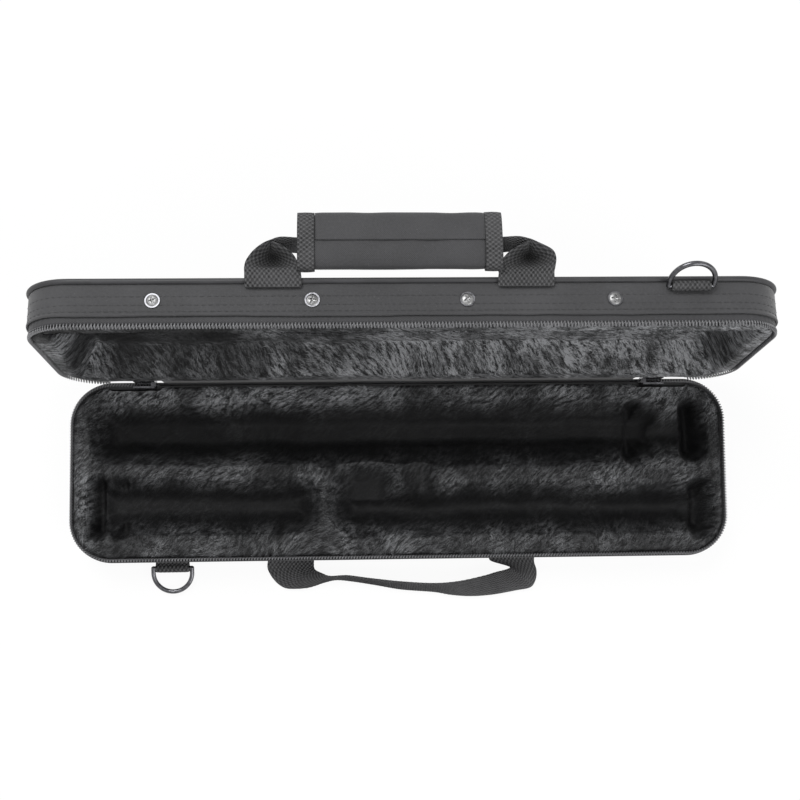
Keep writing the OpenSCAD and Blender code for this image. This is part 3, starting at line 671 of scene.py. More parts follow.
def pad_grid(across_step, along_step, inset):
    """Grid over the outline drawn in by inset: the x and the y of its points."""
    l, w, r = HALF_L - inset, HALF_W - inset, CORNER_R - inset
    count = round(2 * (l - r) / along_step)
    middle = np.linspace(r - l, l - r, count + 1)
    bend = np.linspace(0, math.pi / 2, 26)[1:]
    x = np.concatenate([(r - l) - r * np.sin(bend)[::-1], middle, (l - r) + r * np.sin(bend)])
    over = np.clip(np.abs(x) - (l - r), 0, r)
    top = w - r + np.sqrt(np.clip(r * r - over * over, 0, None))
    v = np.linspace(-1, 1, round(2 * w / across_step) + 1)
    gx, gy = np.broadcast_arrays(x[:, None], top[:, None] * v[None, :])
    return np.array(gx), np.array(gy)


def inside_by(x, y, half_x, half_y, corner):
    """How far a point lies inside a box about the origin with round corners."""
    qx, qy = np.abs(x) - (half_x - corner), np.abs(y) - (half_y - corner)
    return corner - np.hypot(np.maximum(qx, 0), np.maximum(qy, 0)) - np.minimum(np.maximum(qx, qy), 0)


def edge_distance(x, y, inset):
    """How far a point lies inside the case's outline drawn in by inset."""
    return inside_by(x, y, HALF_L - inset, HALF_W - inset, CORNER_R - inset)


def scoop(x, y, x0, x1, yc, wide, deep, corner=10.0, lip=3.2):
    """Depth taken out of the land by one pocket: a soft lip, then a bowl, with round corners in plan."""
    hx, hy = (x1 - x0) / 2, wide / 2
    inside = inside_by(x - (x0 + x1) / 2, y - yc, hx, hy, min(corner, hx, hy))
    reach = min(hy, hx, BOWL_R)
    t = np.clip((inside + lip) / (reach + lip), 0, 1)
    return deep * ease(-0.1, 1.0, t) ** 0.8 * ease(-lip, 0, inside)


def tray_depth(x, y):
    """Depth of the tray's plush below the rim, and how deep in a pocket each point is, from 0 to 1."""
    wob = 1.1 * lumps(x, y, 34, 11)
    deep = FLOOR_D - LAND_D
    body_y, foot_y, head_y = 24.0, -21.5, -25.0
    yw, xw = y + wob, x + 0.8 * wob
    parts = [
        # The body joint: its channel, a wider stretch in it, a narrower end, and two slots across that end
        scoop(xw, yw, -191, 168, body_y, 34.5, deep),
        scoop(xw, yw, -60, 150, body_y, 36.5, deep - 2, 14.0, 6.0),
        scoop(xw, yw, 143, 190, body_y - 2.0, 27.0, deep - 4.0),
        scoop(xw, yw, 140.5, 153.5, body_y - 1.5, 38, deep + 0.5, 6.0, 3.4),
        scoop(xw, yw, 177, 191, body_y - 1.0, 39, deep + 0.5, 6.5, 3.6),
        # The foot joint: its channel, and two slots across its left end
        scoop(xw, yw, -193, -52, foot_y, 31.5, deep),
        scoop(xw, yw, -192.5, -183, foot_y - 0.5, 37, deep - 1, 4.5, 3.0),
        scoop(xw, yw, -177, -168.5, foot_y - 0.5, 36, deep - 5, 4.2, 3.2),
        # The head joint: its channel, a wide dip at its left end, a wider right end, and a finger notch
        scoop(xw, yw, -42, 196, head_y, 27.5, deep),
        scoop(xw, yw, -41, -2, -17.5, 43, deep - 3.5, 13.0, 6.0),
        scoop(xw, yw, 181, 196, head_y, 33, deep, 6.0, 3.6),
        scoop(xw, yw, 3, 20, -4, 20, 9.0, 8.0, 5.5),
    ]
    cut = np.max(parts, 0)
    rise = 0.9 * lumps(x, y, 21, 12) + 0.5 * lumps(x, y, 8, 13)
    land = 1.2 * ease(8, 20, y) * ease(60, 45, y)
    return LAND_D + land + cut + rise * ease(0, 6, edge_distance(x, y, INSERT_IN)), cut / deep


def lid_depth(x, y):
    """A wide recess with sloping sides, creased where the cloth turns up the two ends."""
    side, slope, floor, land = 13.0, 9.0, 20.5, 1.8
    from_end = HALF_L - side - np.abs(x) + 1.2 * lumps(y, 0 * y, 22, 21)
    from_side = HALF_W - side - np.abs(y) + 1.0 * lumps(x, 0 * x, 40, 22)
    cut = (floor - land) * np.minimum(ease(-2.0, slope + 2, from_end), ease(-2.0, slope + 2, from_side))
    crease = np.exp(-((from_end - slope - 3.0) / 2.2) ** 2) * ease(2, 14, from_side)
    rise = 0.7 * lumps(x, y, 19, 23) + 0.25 * lumps(x, y, 6, 24)
    return land + cut + 1.4 * crease + rise * ease(0, 6, edge_distance(x, y, INSERT_IN)), cut / floor


SLIDERS_FROM, SLIDERS_TO, STEP_BACK, STEP_RUN = 147.0, 182.5, 2.3, 3.0


def hinge_side_limit(x):
    """How far the plush may reach towards the hinge: it steps back where the sliders park and travel."""
    x = np.abs(x)
    beside = ease(SLIDERS_FROM, SLIDERS_FROM + STEP_RUN, x) * ease(SLIDERS_TO, SLIDERS_TO - STEP_RUN, x)
    return HALF_W - INSERT_IN - STEP_BACK * beside


def with_roll(depth, x, y):
    """Depth with the rolled edge beside the zip, a quarter round."""
    e = np.clip(edge_distance(x, y, INSERT_IN), 0, ROLL_R)
    return depth + ROLL_R - np.sqrt(np.clip(ROLL_R ** 2 - (ROLL_R - e) ** 2, 0, None))


# %% [markdown]
# Fibres are what makes plush look like plush, so besides the streaks of painted sheen in its finish the
# surface
# carries real tufts: thin blades of three triangles that lean the way the pile lies. Their lean drifts over
# the surface as if it had been stroked, and the tone of each one goes with it, times the half's painted light
# and shade. Tufts stand only where the shape is known, on the same depth function as the surface, so they
# never float.

# %% Plush surface and tufts
def pile_lean(x, y, seed):
    """Direction of the pile in the plane, as an angle, and how light it looks."""
    angle = -2.25 + 1.1 * lumps(x, y, 33, seed) + 0.6 * lumps(x, y, 12, seed + 1)
    light = 0.62 + 0.24 * lumps(x, y, 30, seed + 2) + 0.16 * lumps(x, y, 9, seed + 3)
    return angle, np.clip(light, 0.1, 1.5)


def lie_map(x, y):
    """Map for the pile's strokes, in millimetres along and across the way they lie."""
    u = 0.62 * x - 0.78 * y + 7 * lumps(x, y, 38, 15)
    v = 0.78 * x + 0.62 * y + 7 * lumps(x, y, 31, 16)
    return np.stack([u, v], -1).reshape(-1, 2)


TUFTS, BLADE_POINTS = 90000, 5


def tufts(name, place, depth_of, body, seed, shade):
    """Blades of three triangles all over the plush, each with its own lean, length and tone."""
    rng = np.random.default_rng(seed)
    inset = INSERT_IN + 0.5
    x = rng.uniform(-HALF_L + inset, HALF_L - inset, TUFTS)
    y = rng.uniform(-HALF_W + inset, HALF_W - inset, TUFTS)
    keep = (edge_distance(x, y, inset) > 0.2) & (y < hinge_side_limit(x) - 0.6)
    x, y = x[keep], y[keep]
    h = 0.25
    d, cut = depth_of(x, y)
    dx = (depth_of(x + h, y)[0] - d) / h
    dy = (depth_of(x, y + h)[0] - d) / h
    root = np.stack([x, y, with_roll(d, x, y) + 0.25], 1)
    normal = unit(np.stack([dx, dy, -np.ones_like(dx)], 1))
    angle, light = pile_lean(x, y, seed)
    angle = angle + rng.normal(0, 0.3, len(x))
    flat = np.stack([np.cos(angle), np.sin(angle), np.zeros_like(x)], 1)
    lie = flat - normal * np.sum(flat * normal, 1)[:, None]
    lie /= np.maximum(np.linalg.norm(lie, axis=1), 1e-6)[:, None]
    side = np.cross(lie, normal)
    long = rng.uniform(1.6, 3.2, len(x))[:, None]
    wide = rng.uniform(0.1, 0.2, len(x))[:, None]
    up = rng.uniform(0.08, 0.34, len(x))[:, None]
    middle = root + lie * long * 0.5 + normal * long * up * 0.45
    tip = root + lie * long + normal * long * up * 0.6
    points = np.stack([root - side * wide, root + side * wide, middle - side * wide * 0.8,
                       middle + side * wide * 0.8, tip], 1)
    base = np.arange(len(x))[:, None] * BLADE_POINTS
    quads = (base + np.array([0, 1, 3, 2])).tolist()
    tips = (base + np.array([2, 3, 4])).tolist()
    # Tone: the half's painted light and shade, times the pile's lightness and a random step for each blade
    tone = shade(x, y, cut) * light * rng.choice([0.4, 0.8, 1.2, 1.9], len(x))
    tone = np.repeat(tone, BLADE_POINTS)
    add_mesh(name, place(points.reshape(-1, 3)), quads + tips, body, black_plush, slot="plush", tone=tone,
             thread=np.repeat(lie_map(x, y), BLADE_POINTS, axis=0))
    print(name, len(x), "tufts")


def plush_pad(name, place, depth_of, body, stands_for, seed, shade):
    """The plush's surface over one half, with a skirt that goes down inside the board."""
    x, y = pad_grid(0.75, 1.0, INSERT_IN)
    y = np.minimum(y, hinge_side_limit(x))
    d, cut = depth_of(x, y)
    d = with_roll(d, x, y)
    grid = np.stack([x, y, d], -1)
    rows, cols = x.shape
    # Tone: the pile's lightness times the half's painted light and shade
    light = pile_lean(x, y, seed)[1] * shade(x, y, cut)
    number = np.arange(rows * cols).reshape(rows, cols)
    edge = [*number[0], *number[1:, -1], *number[-1, -2::-1], *number[-2:0:-1, 0]]
    points = grid.reshape(-1, 3)
    skirt = points[edge] * [1, 1, 0] + [0, 0, SKIRT_D]
    n = len(points)
    faces = grid_faces(rows, cols, flip=place is on_tray)
    for k in range(len(edge)):
        k2 = (k + 1) % len(edge)
        face = [edge[k2], edge[k], n + k, n + k2]
        faces.append(face[::-1] if place is on_tray else face)
    points = np.concatenate([points, skirt])
    tone = np.concatenate([light.ravel(), light.ravel()[edge]])
    thread = lie_map(points[:, 0], points[:, 1])
    obj = add_mesh(name, place(points), faces, body, black_plush, thread, tone, stands_for, slot="plush")
    print(name, len(faces), "faces")


def tray_shade(x, y, cut):
    """Painted light on lands and lips, painted shade on floors, and all lighter towards the hinge side."""
    lip = np.exp(-((cut - 0.12) / 0.12) ** 2)
    return 0.72 * (1.0 - 0.9 * ease(0.1, 0.85, cut)) * (1 + 0.9 * ease(30, 52, y)) * (1 + 0.35 * lip)


def lid_shade(x, y, cut):
    """The lining is lighter towards its right end, with brushed patches in the left part."""
    patches = lumps(x, y, 30, 55) * ease(40, -120, x)
    return np.clip(1.1 + 2.2 * ease(-130, 100, x) + 1.3 * patches, 0.15, 3.4)


TRAY_SEED, LID_SEED = 31, 51
plush_pad("tray_plush", on_tray, tray_depth, "tray", ["tray_insert"], TRAY_SEED, tray_shade)
plush_pad("lid_plush", on_lid, lid_depth, "lid", ["lid_lining"], LID_SEED, lid_shade)
tufts("tray_pile", on_tray, tray_depth, "tray", TRAY_SEED, tray_shade)
tufts("lid_pile", on_lid, lid_depth, "lid", LID_SEED, lid_shade)


# %% [markdown]
# Webbing is a flat woven strap. A strap is described by its two edges, as in the CAD: smooth curves through
# paired points. Between them the surface has a fine grid, and every crossing of yarns is pushed out or in a
# little, so that the weave is there in the outline too. Where a strap sags into a hollow, painted shade
# darkens
# the hollow: the strap's tone attribute grows with the sag.

# %% Straps
CURVE_POINTS = 14
WEB_STEP = 0.36
# Sag in mm at which the painted shade in a strap's hollow is full
SAG_FULL = 8


def smooth_line(points, per_span=CURVE_POINTS):
    """Curve through points, the same way as the CAD smooths a strap's edge."""
    p = np.array(points, float)
    n = len(p) - 1
    out = []
    for i in range(n):
        a, b, c, d = p[max(i - 1, 0)], p[i], p[i + 1], p[min(i + 2, n)]
        for t in np.arange(per_span) / per_span:
            out.append(0.5 * (2 * b + (c - a) * t + (2 * a - 5 * b + 4 * c - d) * t * t
                              + (3 * b - a - 3 * c + d) * t ** 3))
    return np.array(out + [p[-1]])


def strap(name, edge_a, edge_b, thick, place, body, relief=0.13, sag=None, **more):
    """Webbing between two edges; sag says how far its middle moves at each of the edges' points."""
    edge_a, edge_b = smooth_line(edge_a), smooth_line(edge_b)
    run = lengths((edge_a + edge_b) / 2)
    s = np.linspace(0, run[-1], max(3, round(run[-1] / WEB_STEP)))
    a, b = at_lengths(s, run, edge_a), at_lengths(s, run, edge_b)
    wide = np.linalg.norm(b - a, axis=1).max()
    v = np.linspace(0, 1, max(4, round(wide / WEB_STEP)) + 1)
    normal = unit(np.cross(unit(np.gradient((a + b) / 2, axis=0)), b - a))
    sheet = a[:, None] * (1 - v)[None, :, None] + b[:, None] * v[None, :, None]
    across = np.concatenate([v, v[::-1]]) * wide
    # Painted shade where the strap's middle sags into a hollow, carried to the webbing as its tone attribute
    hollow = np.zeros((len(s), len(across)))
    if sag is not None:
        sag = at_lengths(s, run, smooth_line(sag))
        sheet = sheet + (4 * v * (1 - v))[None, :, None] * sag[:, None]
        middle_share = across / wide * (1 - across / wide)
        hollow[:] = (np.linalg.norm(sag, axis=1) / SAG_FULL)[:, None] * 4 * middle_share[None, :]
    thin = np.sqrt(np.clip(1 - (2 * v - 1) ** 8, 0.05, 1))[None, :, None]
    bumps = np.sin(math.pi * s[:, None] / WEB_PITCH[0]) * np.sin(math.pi * v[None, :] * wide / WEB_PITCH[1])
    lift = normal[:, None] * (thin * thick / 2 + relief * bumps[..., None] - relief)
    sink = normal[:, None] * (thin * thick / 2 - relief * bumps[..., None] - relief)
    rings = np.concatenate([sheet + lift, (sheet - sink)[:, ::-1]], 1)
    rows, cols = rings.shape[:2]
    faces = grid_faces(rows, cols, round_cols=True, caps=True, flip=True)
    add_mesh(name, place(rings.reshape(-1, 3)), faces, body, webbing, thread=thread_map(s, across),
             tone=hollow.ravel(), slot="webbing", **more)
    print(name, rows * cols, "points")


def as_is(p):
    """Points that are in the row frame already, as the tray handle's are."""
    return np.asarray(p, float)


WEB_T = 1.8
wall_y = -HALF_W - WEB_T / 2
strap("tray_handle_web",
      [(-84.6, wall_y, 4.6), (-84.8, -62.3, 2.6), (-80.5, -69.5, 1.9), (-74.4, -74.1, 1.9), (-67, -74.9, 1.9),
       (-59, -74.1, 1.9), (-49.5, -70.9, 1.9), (-41.5, -69.3, 1.9), (-31, -70.4, 1.9), (-15.8, -73, 1.9),
       (0, -76, 1.9), (20.5, -77.9, 1.9), (31.3, -80, 1.9), (44, -81.1, 1.9), (58, -80.4, 1.9),
       (74, -77.8, 2.1), (83, -76, 2.4), (86.4, -71, 2.8), (87, -65.1, 3), (85.5, -60, 3.8),
       (85.5, wall_y, 4.6)],
      [(-55.3, wall_y, 4.6), (-55.4, -60.6, 4.6), (-54.6, -62.6, 5.4), (-52.4, -63.8, 7), (-49.5, -65, 8.5),
       (-46.5, -66.2, 9.4), (-43, -66.8, 9.8), (-38, -66.6, 10), (-33, -66.6, 9.8), (-20.9, -68.3, 9.6),
       (0, -70.7, 9.6), (20.5, -72, 9.6), (36.4, -70.9, 9), (52.4, -67.7, 8.4), (60, -65.6, 8),
       (67, -64, 7.4), (69.5, -62.6, 6.8), (67, -61.2, 6.2), (61, -60, 5.6), (57, -58.4, 5),
       (56.2, wall_y, 4.6)],
      WEB_T, as_is, "tray_handle", stands_for=["tray_handle"])

# %% [markdown]
# The lid's handle comes out of the piping seam, folds to half its width and runs through a padded wrap. Both
# ends start alike, mirrored, but each takes its own folds on the way. The strap's middle sags where it folds.

# %% Lid handle
LID_HANDLE_X = -4.0
PIPING_H = 3.2
handle_y = -HALF_W - WEB_T / 2 - 0.3
handle_d = LID_H - PIPING_H - 2.4
over_piping = -HALF_W - PIPING_H + 0.3 - WEB_T / 2 + 0.4
wrap_y = over_piping - 3
WRAP_L, WRAP_W, WRAP_T = 108.0, 29.0, 13.0
wrap_d = LID_H + 5 + WRAP_W / 2
# Inside the wrap the strap runs between these two depths and ends at this x
top_d, low_d, in_x = 48.8, 41.0, WRAP_L / 2 - 11
out_y, front_y, back_y = over_piping, over_piping - 4.5, wrap_y + 3
# The folds of the strap's outer and inner edge as (x, depth), and how far to the front each one stands out
outer = {"left": [(82, 33), (80.9, 36.5), (77.2, 41.2), (72.4, 44.9), (68.4, 46.8)],
         "right": [(82.6, 33), (83, 37.4), (80.8, 41.4), (73.5, 45.2), (69, 47.2)]}
rim = {"left": [(52.5, 32.5), (54, 35.5), (57.1, 39.6), (62.4, 43.4), (67.4, 45.4)],
       "right": [(51.6, 31.5), (54, 36), (58.4, 40.2), (64, 43.2), (68.6, 45.2)]}
reach = [0.3, 0.55, 0.85, 1, 1]
# How far the strap's middle sags at each point of its edges
sag = [(0, 0, 0), (0, 0, 0), (0, 0, 0), (0, 1.5, 0), (0, 5, -1.5), (0, 8, -2.5), (0, 8, -4), (0, 6, -4),
       (0, 3, -2), (0, 1, 0), (0, 0, 0)]
for side, sign in (("right", 1), ("left", -1)):
    far = [(px, out_y + (front_y - out_y) * r, d) for (px, d), r in zip(outer[side], reach)]
    near = [(px, out_y + (front_y - 1.5 - out_y) * r, d) for (px, d), r in zip(rim[side], reach)]
    edges = [[(82, handle_y, handle_d), (82, out_y, LID_H - 1.2), (82, out_y - 0.6, LID_H + 1.5)] + far
             + [(63, wrap_y - 1, top_d), (54, wrap_y, top_d), (in_x, wrap_y, top_d)],
             [(52, handle_y, handle_d), (52, out_y, LID_H - 1.2), (52.2, out_y - 0.6, LID_H + 1)] + near
             + [(64, back_y, low_d + 2), (54, back_y, low_d), (in_x, wrap_y + 1, low_d)]]
    edges = [[(LID_HANDLE_X + sign * px, py, pz) for px, py, pz in e] for e in edges]
    strap("lid_handle_web_" + side, *edges, WEB_T, on_lid, "lid_handle", sag=sag,
          stands_for=["lid_handle"] if side == "right" else ())


# %% [markdown]
# The wrap is a flat oval of foam in the cover's cloth, closed by a flap that hooks over it, and its two ends
# are bound with webbing. Padding shows in how an oval section swells between its ends, and in pulls where it
# is sewn. The wrap, its flap and its bindings are each a part of the oval, between two angles round it,
# carried along x.

# %% Wrap
OVAL_POWER = 2.6
BINDING_L = 9.0
# The wrap's side towards the case bulges this far past a true oval
NEAR_SIDE = 3.6


def oval_at(angle, width, thick):
    """Points of a flat oval at angles from its middle."""
    c, s = np.cos(angle), np.sin(angle)
    k = (np.abs(c) ** OVAL_POWER + np.abs(s) ** OVAL_POWER) ** (-1 / OVAL_POWER)
    return np.stack([c * k * (width / 2), s * k * (thick / 2)], -1)


def wrap_part(name, a0, a1, length, at_x, body, material, grow=0.0, thick=None, swell=0.4, closed=False,
              **more):
    """Shell of the oval between two angles, over a length along x; thick gives it an inner side."""
    columns, turns = max(8, round(length / 1.2)), 64
    s = np.linspace(-length / 2, length / 2, columns + 1)
    angle = np.linspace(a0, a1, turns + 1)[:-1] if closed else np.linspace(a0, a1, turns + 1)
    outer = oval_at(angle, WRAP_W + 2 * grow, WRAP_T + 2 * grow) + [NEAR_SIDE * 0.5, 0]
    outer[:, 0] += NEAR_SIDE * 0.5 * np.clip(outer[:, 0] / (WRAP_W / 2), -1, 1)
    ends = 1 - np.clip((np.abs(s) - length / 2 + 5) / 5, 0, 1) ** 2
    puff = swell * (0.3 + 0.7 * ends)[:, None] + 0.3 * lumps(s[:, None] + at_x, angle[None, :] * 9, 11, 71)
    skin = outer[None] + unit(outer)[None] * (puff - 0.45)[..., None]
    if thick:
        inner = outer * [1 - 2 * thick / WRAP_W, 1 - 2 * thick / WRAP_T]
        under = np.broadcast_to(inner[None], skin.shape)
        skin = np.concatenate([skin, under[:, ::-1]], 1)
    rows, cols = skin.shape[:2]
    px = np.broadcast_to((LID_HANDLE_X + at_x + s)[:, None], (rows, cols))
    points = np.stack([px, wrap_y + skin[..., 1], wrap_d - skin[..., 0]], -1)
    faces = grid_faces(rows, cols, round_cols=True, caps=True)
    thread = thread_map(s, lengths(skin[rows // 2]))
    obj = add_mesh(name, on_lid(points.reshape(-1, 3)), faces, body, material, thread=thread, **more)
    print(name, rows * cols, "points")
    return obj


body_l = WRAP_L - 2 * BINDING_L
WHOLE_TURN = 2 * math.pi
wrap = wrap_part("wrap_pad", 0, WHOLE_TURN, body_l + 1, 0, "lid_handle", wrap_cloth, grow=-0.9, swell=0.25,
                 closed=True, stands_for=["handle_wrap"], slot="woven_fabric")
flap = wrap_part("wrap_flap_cloth", -math.pi * 0.48, -math.pi, body_l - 0.6, 0, "wrap_flap", wrap_cloth,
                 thick=1.3, stands_for=["wrap_flap"], slot="woven_fabric")
for side, sign in (("right", 1), ("left", -1)):
    binding_x = sign * (WRAP_L - BINDING_L) / 2
    wrap_part("wrap_binding_" + side, 0, WHOLE_TURN, BINDING_L, binding_x, "lid_handle", webbing, grow=0.2,
              closed=True, stands_for=["wrap_bindings"] if side == "right" else (), slot="webbing")


# %% [markdown]
# The two D-rings hang in short tabs of webbing that are caught in the piping seam. A tab is a strap that goes
# round the ring's bar and comes back on itself, so its edges are the same loop at two places along x.

# %% Ring tabs
RING_WIRE_R, TAB_W = 1.4, 21.0
TAB_OUT_R = RING_WIRE_R + 0.3 + 1.1
TAB_MID_R = RING_WIRE_R + 0.3 + 0.55
TAB_T, TAB_RELIEF = 1.0, 0.08
TAB_TURN = (-70, -110, -150, -180, -210, -250, -290)


def ring_tab(name, x0, bar_y, bar_d, tail, place, body, node):
    """A tab round a ring's bar, its two ends running back by tail to the seam."""
    loop = [(bar_y + tail, bar_d - 0.65), (bar_y + tail / 2, bar_d - 0.8)]
    loop += [(bar_y + TAB_MID_R * math.cos(a), bar_d + TAB_MID_R * math.sin(a)) for a in np.radians(TAB_TURN)]
    loop += [(bar_y + tail / 2, bar_d + 0.8), (bar_y + tail, bar_d + 0.65)]
    edges = [[(x0 + s * TAB_W / 2, py, pd) for py, pd in loop] for s in (-1, 1)]
    strap(name, *edges, TAB_T, place, body, relief=TAB_RELIEF, stands_for=[node])


tray_ring_x, tray_ring_z, lid_ring_x = -144.5, 5.2, 151.0
tray_ring_y = -HALF_W - PIPING_H / 2 - TAB_OUT_R - 0.6
lid_ring_d = LID_H - PIPING_H - TAB_OUT_R - 0.4
ring_tab("tray_ring_tab_web", tray_ring_x, tray_ring_y, TRAY_H - tray_ring_z, -tray_ring_y - HALF_W + 0.3,
         on_tray, "tray", "tray_ring_tab")
ring_tab("lid_ring_tab_web", lid_ring_x, -HALF_W - TAB_OUT_R, lid_ring_d, 3.0, on_lid, "lid", "lid_ring_tab")

# %% [markdown]
# The hinge is a strip of the cover's cloth with two folds, one beside each half. It bends across two joints,
# so it is drawn in two pieces that meet in the middle of the gusset: one runs from the tray to the gusset
# and one from the gusset to the lid.

# %% Hinge cloth
HINGE_L = 2 * (SLIDER_X - SLIDER_L / 2 - 4)
CLOTH_T = 0.3


def hinge_piece(name, path, stands_for):
    """Strip of cloth along a path of (y, z) points; it is not put on a body."""
    columns = round(HINGE_L / 3)
    xs = np.linspace(-HINGE_L / 2, HINGE_L / 2, columns + 1)
    fine = smooth_line([(0, y, z) for y, z in path], 6)[:, 1:]
    t = np.gradient(fine, axis=0)
    n = unit(np.stack([-t[:, 1], t[:, 0]], 1))
    ring = np.concatenate([fine + n * CLOTH_T / 2, (fine - n * CLOTH_T / 2)[::-1]])
    ripple = 0.08 * lumps(xs[:, None], ring[None, :, 1], 14, 81)
    points = np.stack(np.broadcast_arrays(xs[:, None], ring[None, :, 0] + ripple, ring[None, :, 1]), -1)
    faces = grid_faces(len(xs), len(ring), round_cols=True, caps=True)
    thread = thread_map(xs, lengths(ring))
    obj = add_mesh(name, points.reshape(-1, 3), faces, None, hinge_cloth, thread=thread,
                   stands_for=stands_for, slot="woven_fabric")
    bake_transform(obj)


leaf_y = HALF_W + 0.25
tray_leaf = [(leaf_y, 15.0), (leaf_y, 20.0), (HALF_W + 0.3, 24.0)]
lid_leaf = [tuple(p) for p in on_lid([(0, leaf_y, d) for d in (4.6, 7.0, 10.0, 14.0)])[:, 1:]]
hinge_piece("hinge_cloth_lower", tray_leaf + [(FOLD_Y, 26.5), (FOLD_Y, TRAY_H)],
            ["tray_hinge_leaf", "hinge_gusset"])
upper_fold = [(FOLD_Y, TRAY_H), (FOLD_Y, FOLD_Z - 1.2), (FOLD_Y + 0.25, FOLD_Z)]
hinge_piece("hinge_cloth_upper", upper_fold + lid_leaf,
            ["lid_hinge_leaf"])

# %% [markdown]
# The two big panels are cloth over board, slightly crowned by the padding below. The same grid as the plush
# gives them their outline, with a shallow crown and soft creases, and a rim that turns down into the piping.

# %% Outer panels
PANEL_IN = 2.05


def outer_panel(name, height, place, body, node, crown):
    """One half's big panel with its crown, closed by a flat back."""
    x, y = pad_grid(3.0, 4.0, PANEL_IN)
    e = edge_distance(x, y, PANEL_IN)
    ripple = 0.12 * lumps(x, y, 55, 91) + 0.05 * lumps(x, y, 17, 92)
    d = height - 0.9 + crown * (1 - np.exp(-np.clip(e, 0, None) / 7)) + ripple * ease(0, 12, e)
    grid = np.stack([x, y, d], -1).reshape(-1, 3)
    rows, cols = x.shape
    back = grid * [1, 1, 0] + [0, 0, height - 1.0]
    n = len(grid)
    outside = grid_faces(rows, cols, flip=place is on_lid)
    inside = [[v + n for v in f[::-1]] for f in outside]
    add_mesh(name, place(np.concatenate([grid, back])), outside + inside, body, panel_cloth,
             stands_for=[node], slot="woven_fabric")
    print(name, len(outside), "faces")


outer_panel("lid_panel_cloth", LID_H, on_lid, "lid", "lid_top_panel", 1.1)
outer_panel("tray_panel_cloth", TRAY_H, on_tray, "tray", "tray_base_panel", 0.75)

# %% [markdown]
# A screw's head is a low dome with a cross driven into it. The dome is a fan of rings, and each point sinks
# by how far it lies inside either arm of the cross. Both arms taper towards their ends and the floor is a
# shallow cone.

# %% Screw heads
SCREW_SHARES = (-0.654, -0.246, 0.154, 0.539)
SCREW_D, HEAD_R, HEAD_H = 16.0, 3.5, 1.3
HEAD_RINGS, HEAD_SIDES = 26, 96
# Half width and reach of the cross's arms, each as (where the dome is whole, where the arm is fully sunk)
ARM_HALF_W, ARM_REACH = (0.62, 0.36), (2.3, 1.9)


def screw_head(turn):
    """Grid of a head's points, turned by an angle: two across the face and the third outwards."""
    r = np.concatenate([np.linspace(0.05, HEAD_R, HEAD_RINGS), [HEAD_R, HEAD_R - 1.4]])[:, None]
    a = np.linspace(0, 2 * math.pi, HEAD_SIDES, endpoint=False)[None, :]
    u, v = r * np.cos(a), r * np.sin(a)
    dome = HEAD_H * np.sqrt(np.clip(1.02 - (r / HEAD_R) ** 2, 0.02, None)) + 0.1
    c, s = math.cos(turn), math.sin(turn)
    p, q = np.abs(u * c + v * s), np.abs(v * c - u * s)
    arm = np.maximum(*(ease(*ARM_HALF_W, side + 0.06 * reach) * ease(*ARM_REACH, reach)
                       for reach, side in ((p, q), (q, p))))
    out = dome - arm * (1.15 - 0.28 * r)
    out[-2:] = [[0.0], [-0.4]]
    return np.stack([u, v, out], -1)


points, faces = [], []
for k, share in enumerate(SCREW_SHARES):
    head = screw_head(0.35 + 0.9 * k)
    rows, cols = head.shape[:2]
    spots = np.stack([share * HALF_L + head[..., 0], -HALF_W - head[..., 2], SCREW_D + head[..., 1]], -1)
    faces += [[v + k * rows * cols for v in f] for f in grid_faces(rows, cols, round_cols=True, caps=True)]
    points.append(spots.reshape(-1, 3))
add_mesh("lid_screw_heads", on_lid(np.concatenate(points)), faces, "lid", nickel, stands_for=["lid_screws"],
         slot="bright_nickel")
print("lid_screw_heads", len(faces), "faces")

# %% [markdown]
# The rigid pieces come from the CAD as they are. They get their own finish, and a fine bevel on the edges of
# metal parts, because a real edge always catches a thin line of light.

# %% CAD pieces
finishes = {
    piping_skin: ("tray_piping", "lid_piping"), board_grey: ("tray_shell", "lid_shell"),
    gunmetal: ("lid_screw_collars", "lid_screw_nuts", "tray_d_ring", "lid_d_ring", "zip_slider_left",
               "zip_slider_right", "zip_pull_left", "zip_pull_right"),
    hook_tape: ("wrap_hook_patch",),
}
bevelled = {"lid_screw_collars": 0.15, "zip_slider_left": 0.25, "zip_slider_right": 0.25,
            "zip_pull_left": 0.3, "zip_pull_right": 0.3}
for material, names in finishes.items():
    for name in names:
        nodes[name].data.materials.clear()
        nodes[name].data.materials.append(material)
for name, width in bevelled.items():
    bevel = nodes[name].modifiers.new("edge", "BEVEL")
    bevel.width, bevel.segments = width * MM, 2
    bevel.limit_method, bevel.angle_limit = "ANGLE", math.radians(35)
print("CAD pieces with a finish:", sum(map(len, finishes.values())))

# %% [markdown]
# The camera stands where the photographer's did: almost above the tray, a little to the left. Its place and
# turn come from matching the case's known corners to the picture, and so does the lens.

# %% Camera
camera_right = Vector((0.9992, -0.01134, 0.03829))
camera_up = Vector((0.00834, 0.99696, 0.07753))
camera_place = Vector((-27.96, -11.26, 730.99)) * MM
LENS = 50.87
camera_back = camera_right.cross(camera_up).normalized()
camera_up = camera_back.cross(camera_right).normalized()
camera_data = bpy.data.cameras.new("camera")
camera_data.lens, camera_data.sensor_width = LENS, 36.0
camera = bpy.data.objects.new("camera", camera_data)
bpy.context.scene.collection.objects.link(camera)
turn = Matrix((camera_right.normalized(), camera_up, camera_back)).transposed()
camera.matrix_world = Matrix.Translation(camera_place) @ turn.to_4x4()
bpy.context.scene.camera = camera
print("camera at", [round(v, 3) for v in camera_place], "lens", LENS)

# %% [markdown]
# The photograph is cut out on white. A white floor that stays white to the camera and in reflections, but
# takes the case's shadow softly, gives the same picture without more light on the black cloth. Two large soft
# lamps and an even sky light it as a small studio would.

# %% Stage and light
GLOW_SHARE = 0.93
FLOOR_HALF, FLOOR_GAP = 6.0, 0.8 * MM
SKY_TO_CLOTH = 0.7
LAMP_AIM = (0, 0, 0.05)


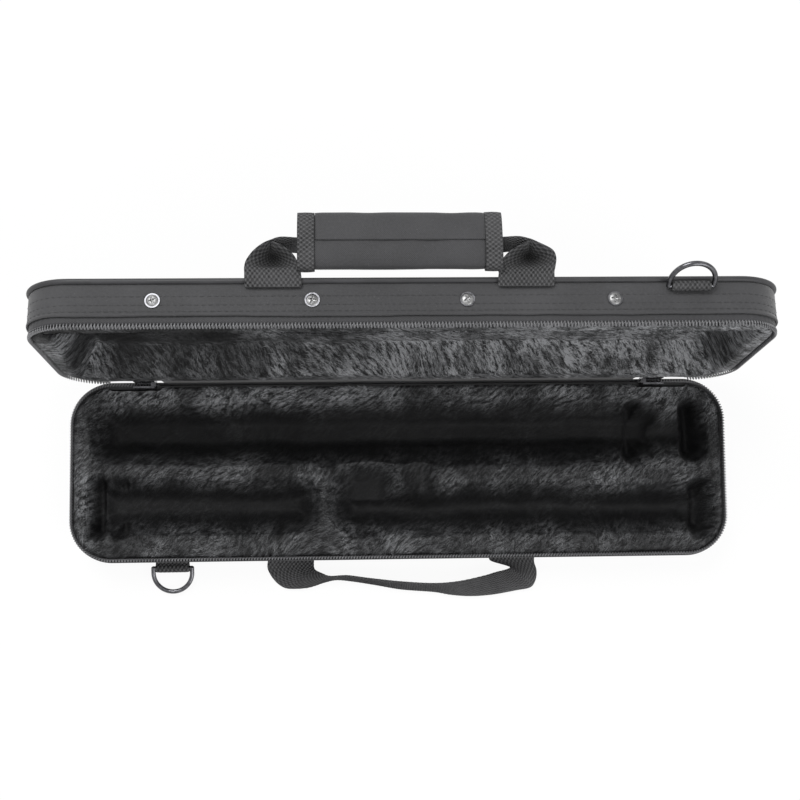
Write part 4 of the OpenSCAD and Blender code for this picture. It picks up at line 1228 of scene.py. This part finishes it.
def to_camera(net):
    """1 for rays from the camera, from mirrors and through glass, and 0 for the soft light between things."""
    ray = net.add("ShaderNodeLightPath").outputs
    return net.maths("MAXIMUM", ray["Is Camera Ray"],
                     net.maths("MAXIMUM", ray["Is Glossy Ray"], ray["Is Transmission Ray"]))


def white_stage(name):
    """A floor that shows white but takes a soft shadow."""
    material = bpy.data.materials.new(name)
    material.use_nodes = True
    net = Net(material.node_tree)
    material.node_tree.nodes.clear()
    seen = to_camera(net)
    cloth = net.add("ShaderNodeBsdfDiffuse", {"Color": (0.8, 0.8, 0.8, 1)}).outputs[0]
    glow = net.add("ShaderNodeEmission", {"Color": (1, 1, 1, 1), "Strength": 1.0}).outputs[0]
    shown = net.add("ShaderNodeMixShader", {0: GLOW_SHARE, 1: cloth, 2: glow}).outputs[0]
    both = net.add("ShaderNodeMixShader", {0: seen, 1: cloth, 2: shown}).outputs[0]
    net.add("ShaderNodeOutputMaterial", {"Surface": both})
    return material


floor_z = min(cad_low.z, 0.0) - FLOOR_GAP
floor_mesh = bpy.data.meshes.new("floor")
corners = [(FLOOR_HALF * x, FLOOR_HALF * y, floor_z) for x, y in ((-1, -1), (1, -1), (1, 1), (-1, 1))]
floor_mesh.from_pydata(corners, [], [(0, 1, 2, 3)])
floor_mesh.materials.append(white_stage("floor_white"))
floor = bpy.data.objects.new("floor", floor_mesh)
bpy.context.scene.collection.objects.link(floor)


def soft_lamp(name, place, width, power):
    """A round lamp, places and sizes in metres, turned to the middle of the case."""
    data = bpy.data.lights.new(name, "AREA")
    data.shape, data.size, data.energy = "DISK", width, power
    lamp = bpy.data.objects.new(name, data)
    bpy.context.scene.collection.objects.link(lamp)
    lamp.location = place
    lamp.rotation_mode = "QUATERNION"
    lamp.rotation_quaternion = (Vector(LAMP_AIM) - Vector(place)).to_track_quat("-Z", "Y")


soft_lamp("key_lamp", (-0.5, 0.9, 1.5), 0.9, 22)
soft_lamp("fill_lamp", (0.9, -0.9, 1.2), 1.1, 12)
world = bpy.data.worlds.new("sky")
bpy.context.scene.world = world
world.use_nodes = True
net = Net(world.node_tree)
world.node_tree.nodes.clear()
strength = net.remap(to_camera(net), 0.0, 1.0, SKY_TO_CLOTH, 1.0)
sky = net.add("ShaderNodeBackground", {"Color": (1, 1, 1, 1), "Strength": strength}).outputs[0]
net.add("ShaderNodeOutputWorld", {"Surface": sky})
bpy.context.scene.view_settings.view_transform = "Standard"
print("stage and lamps set")
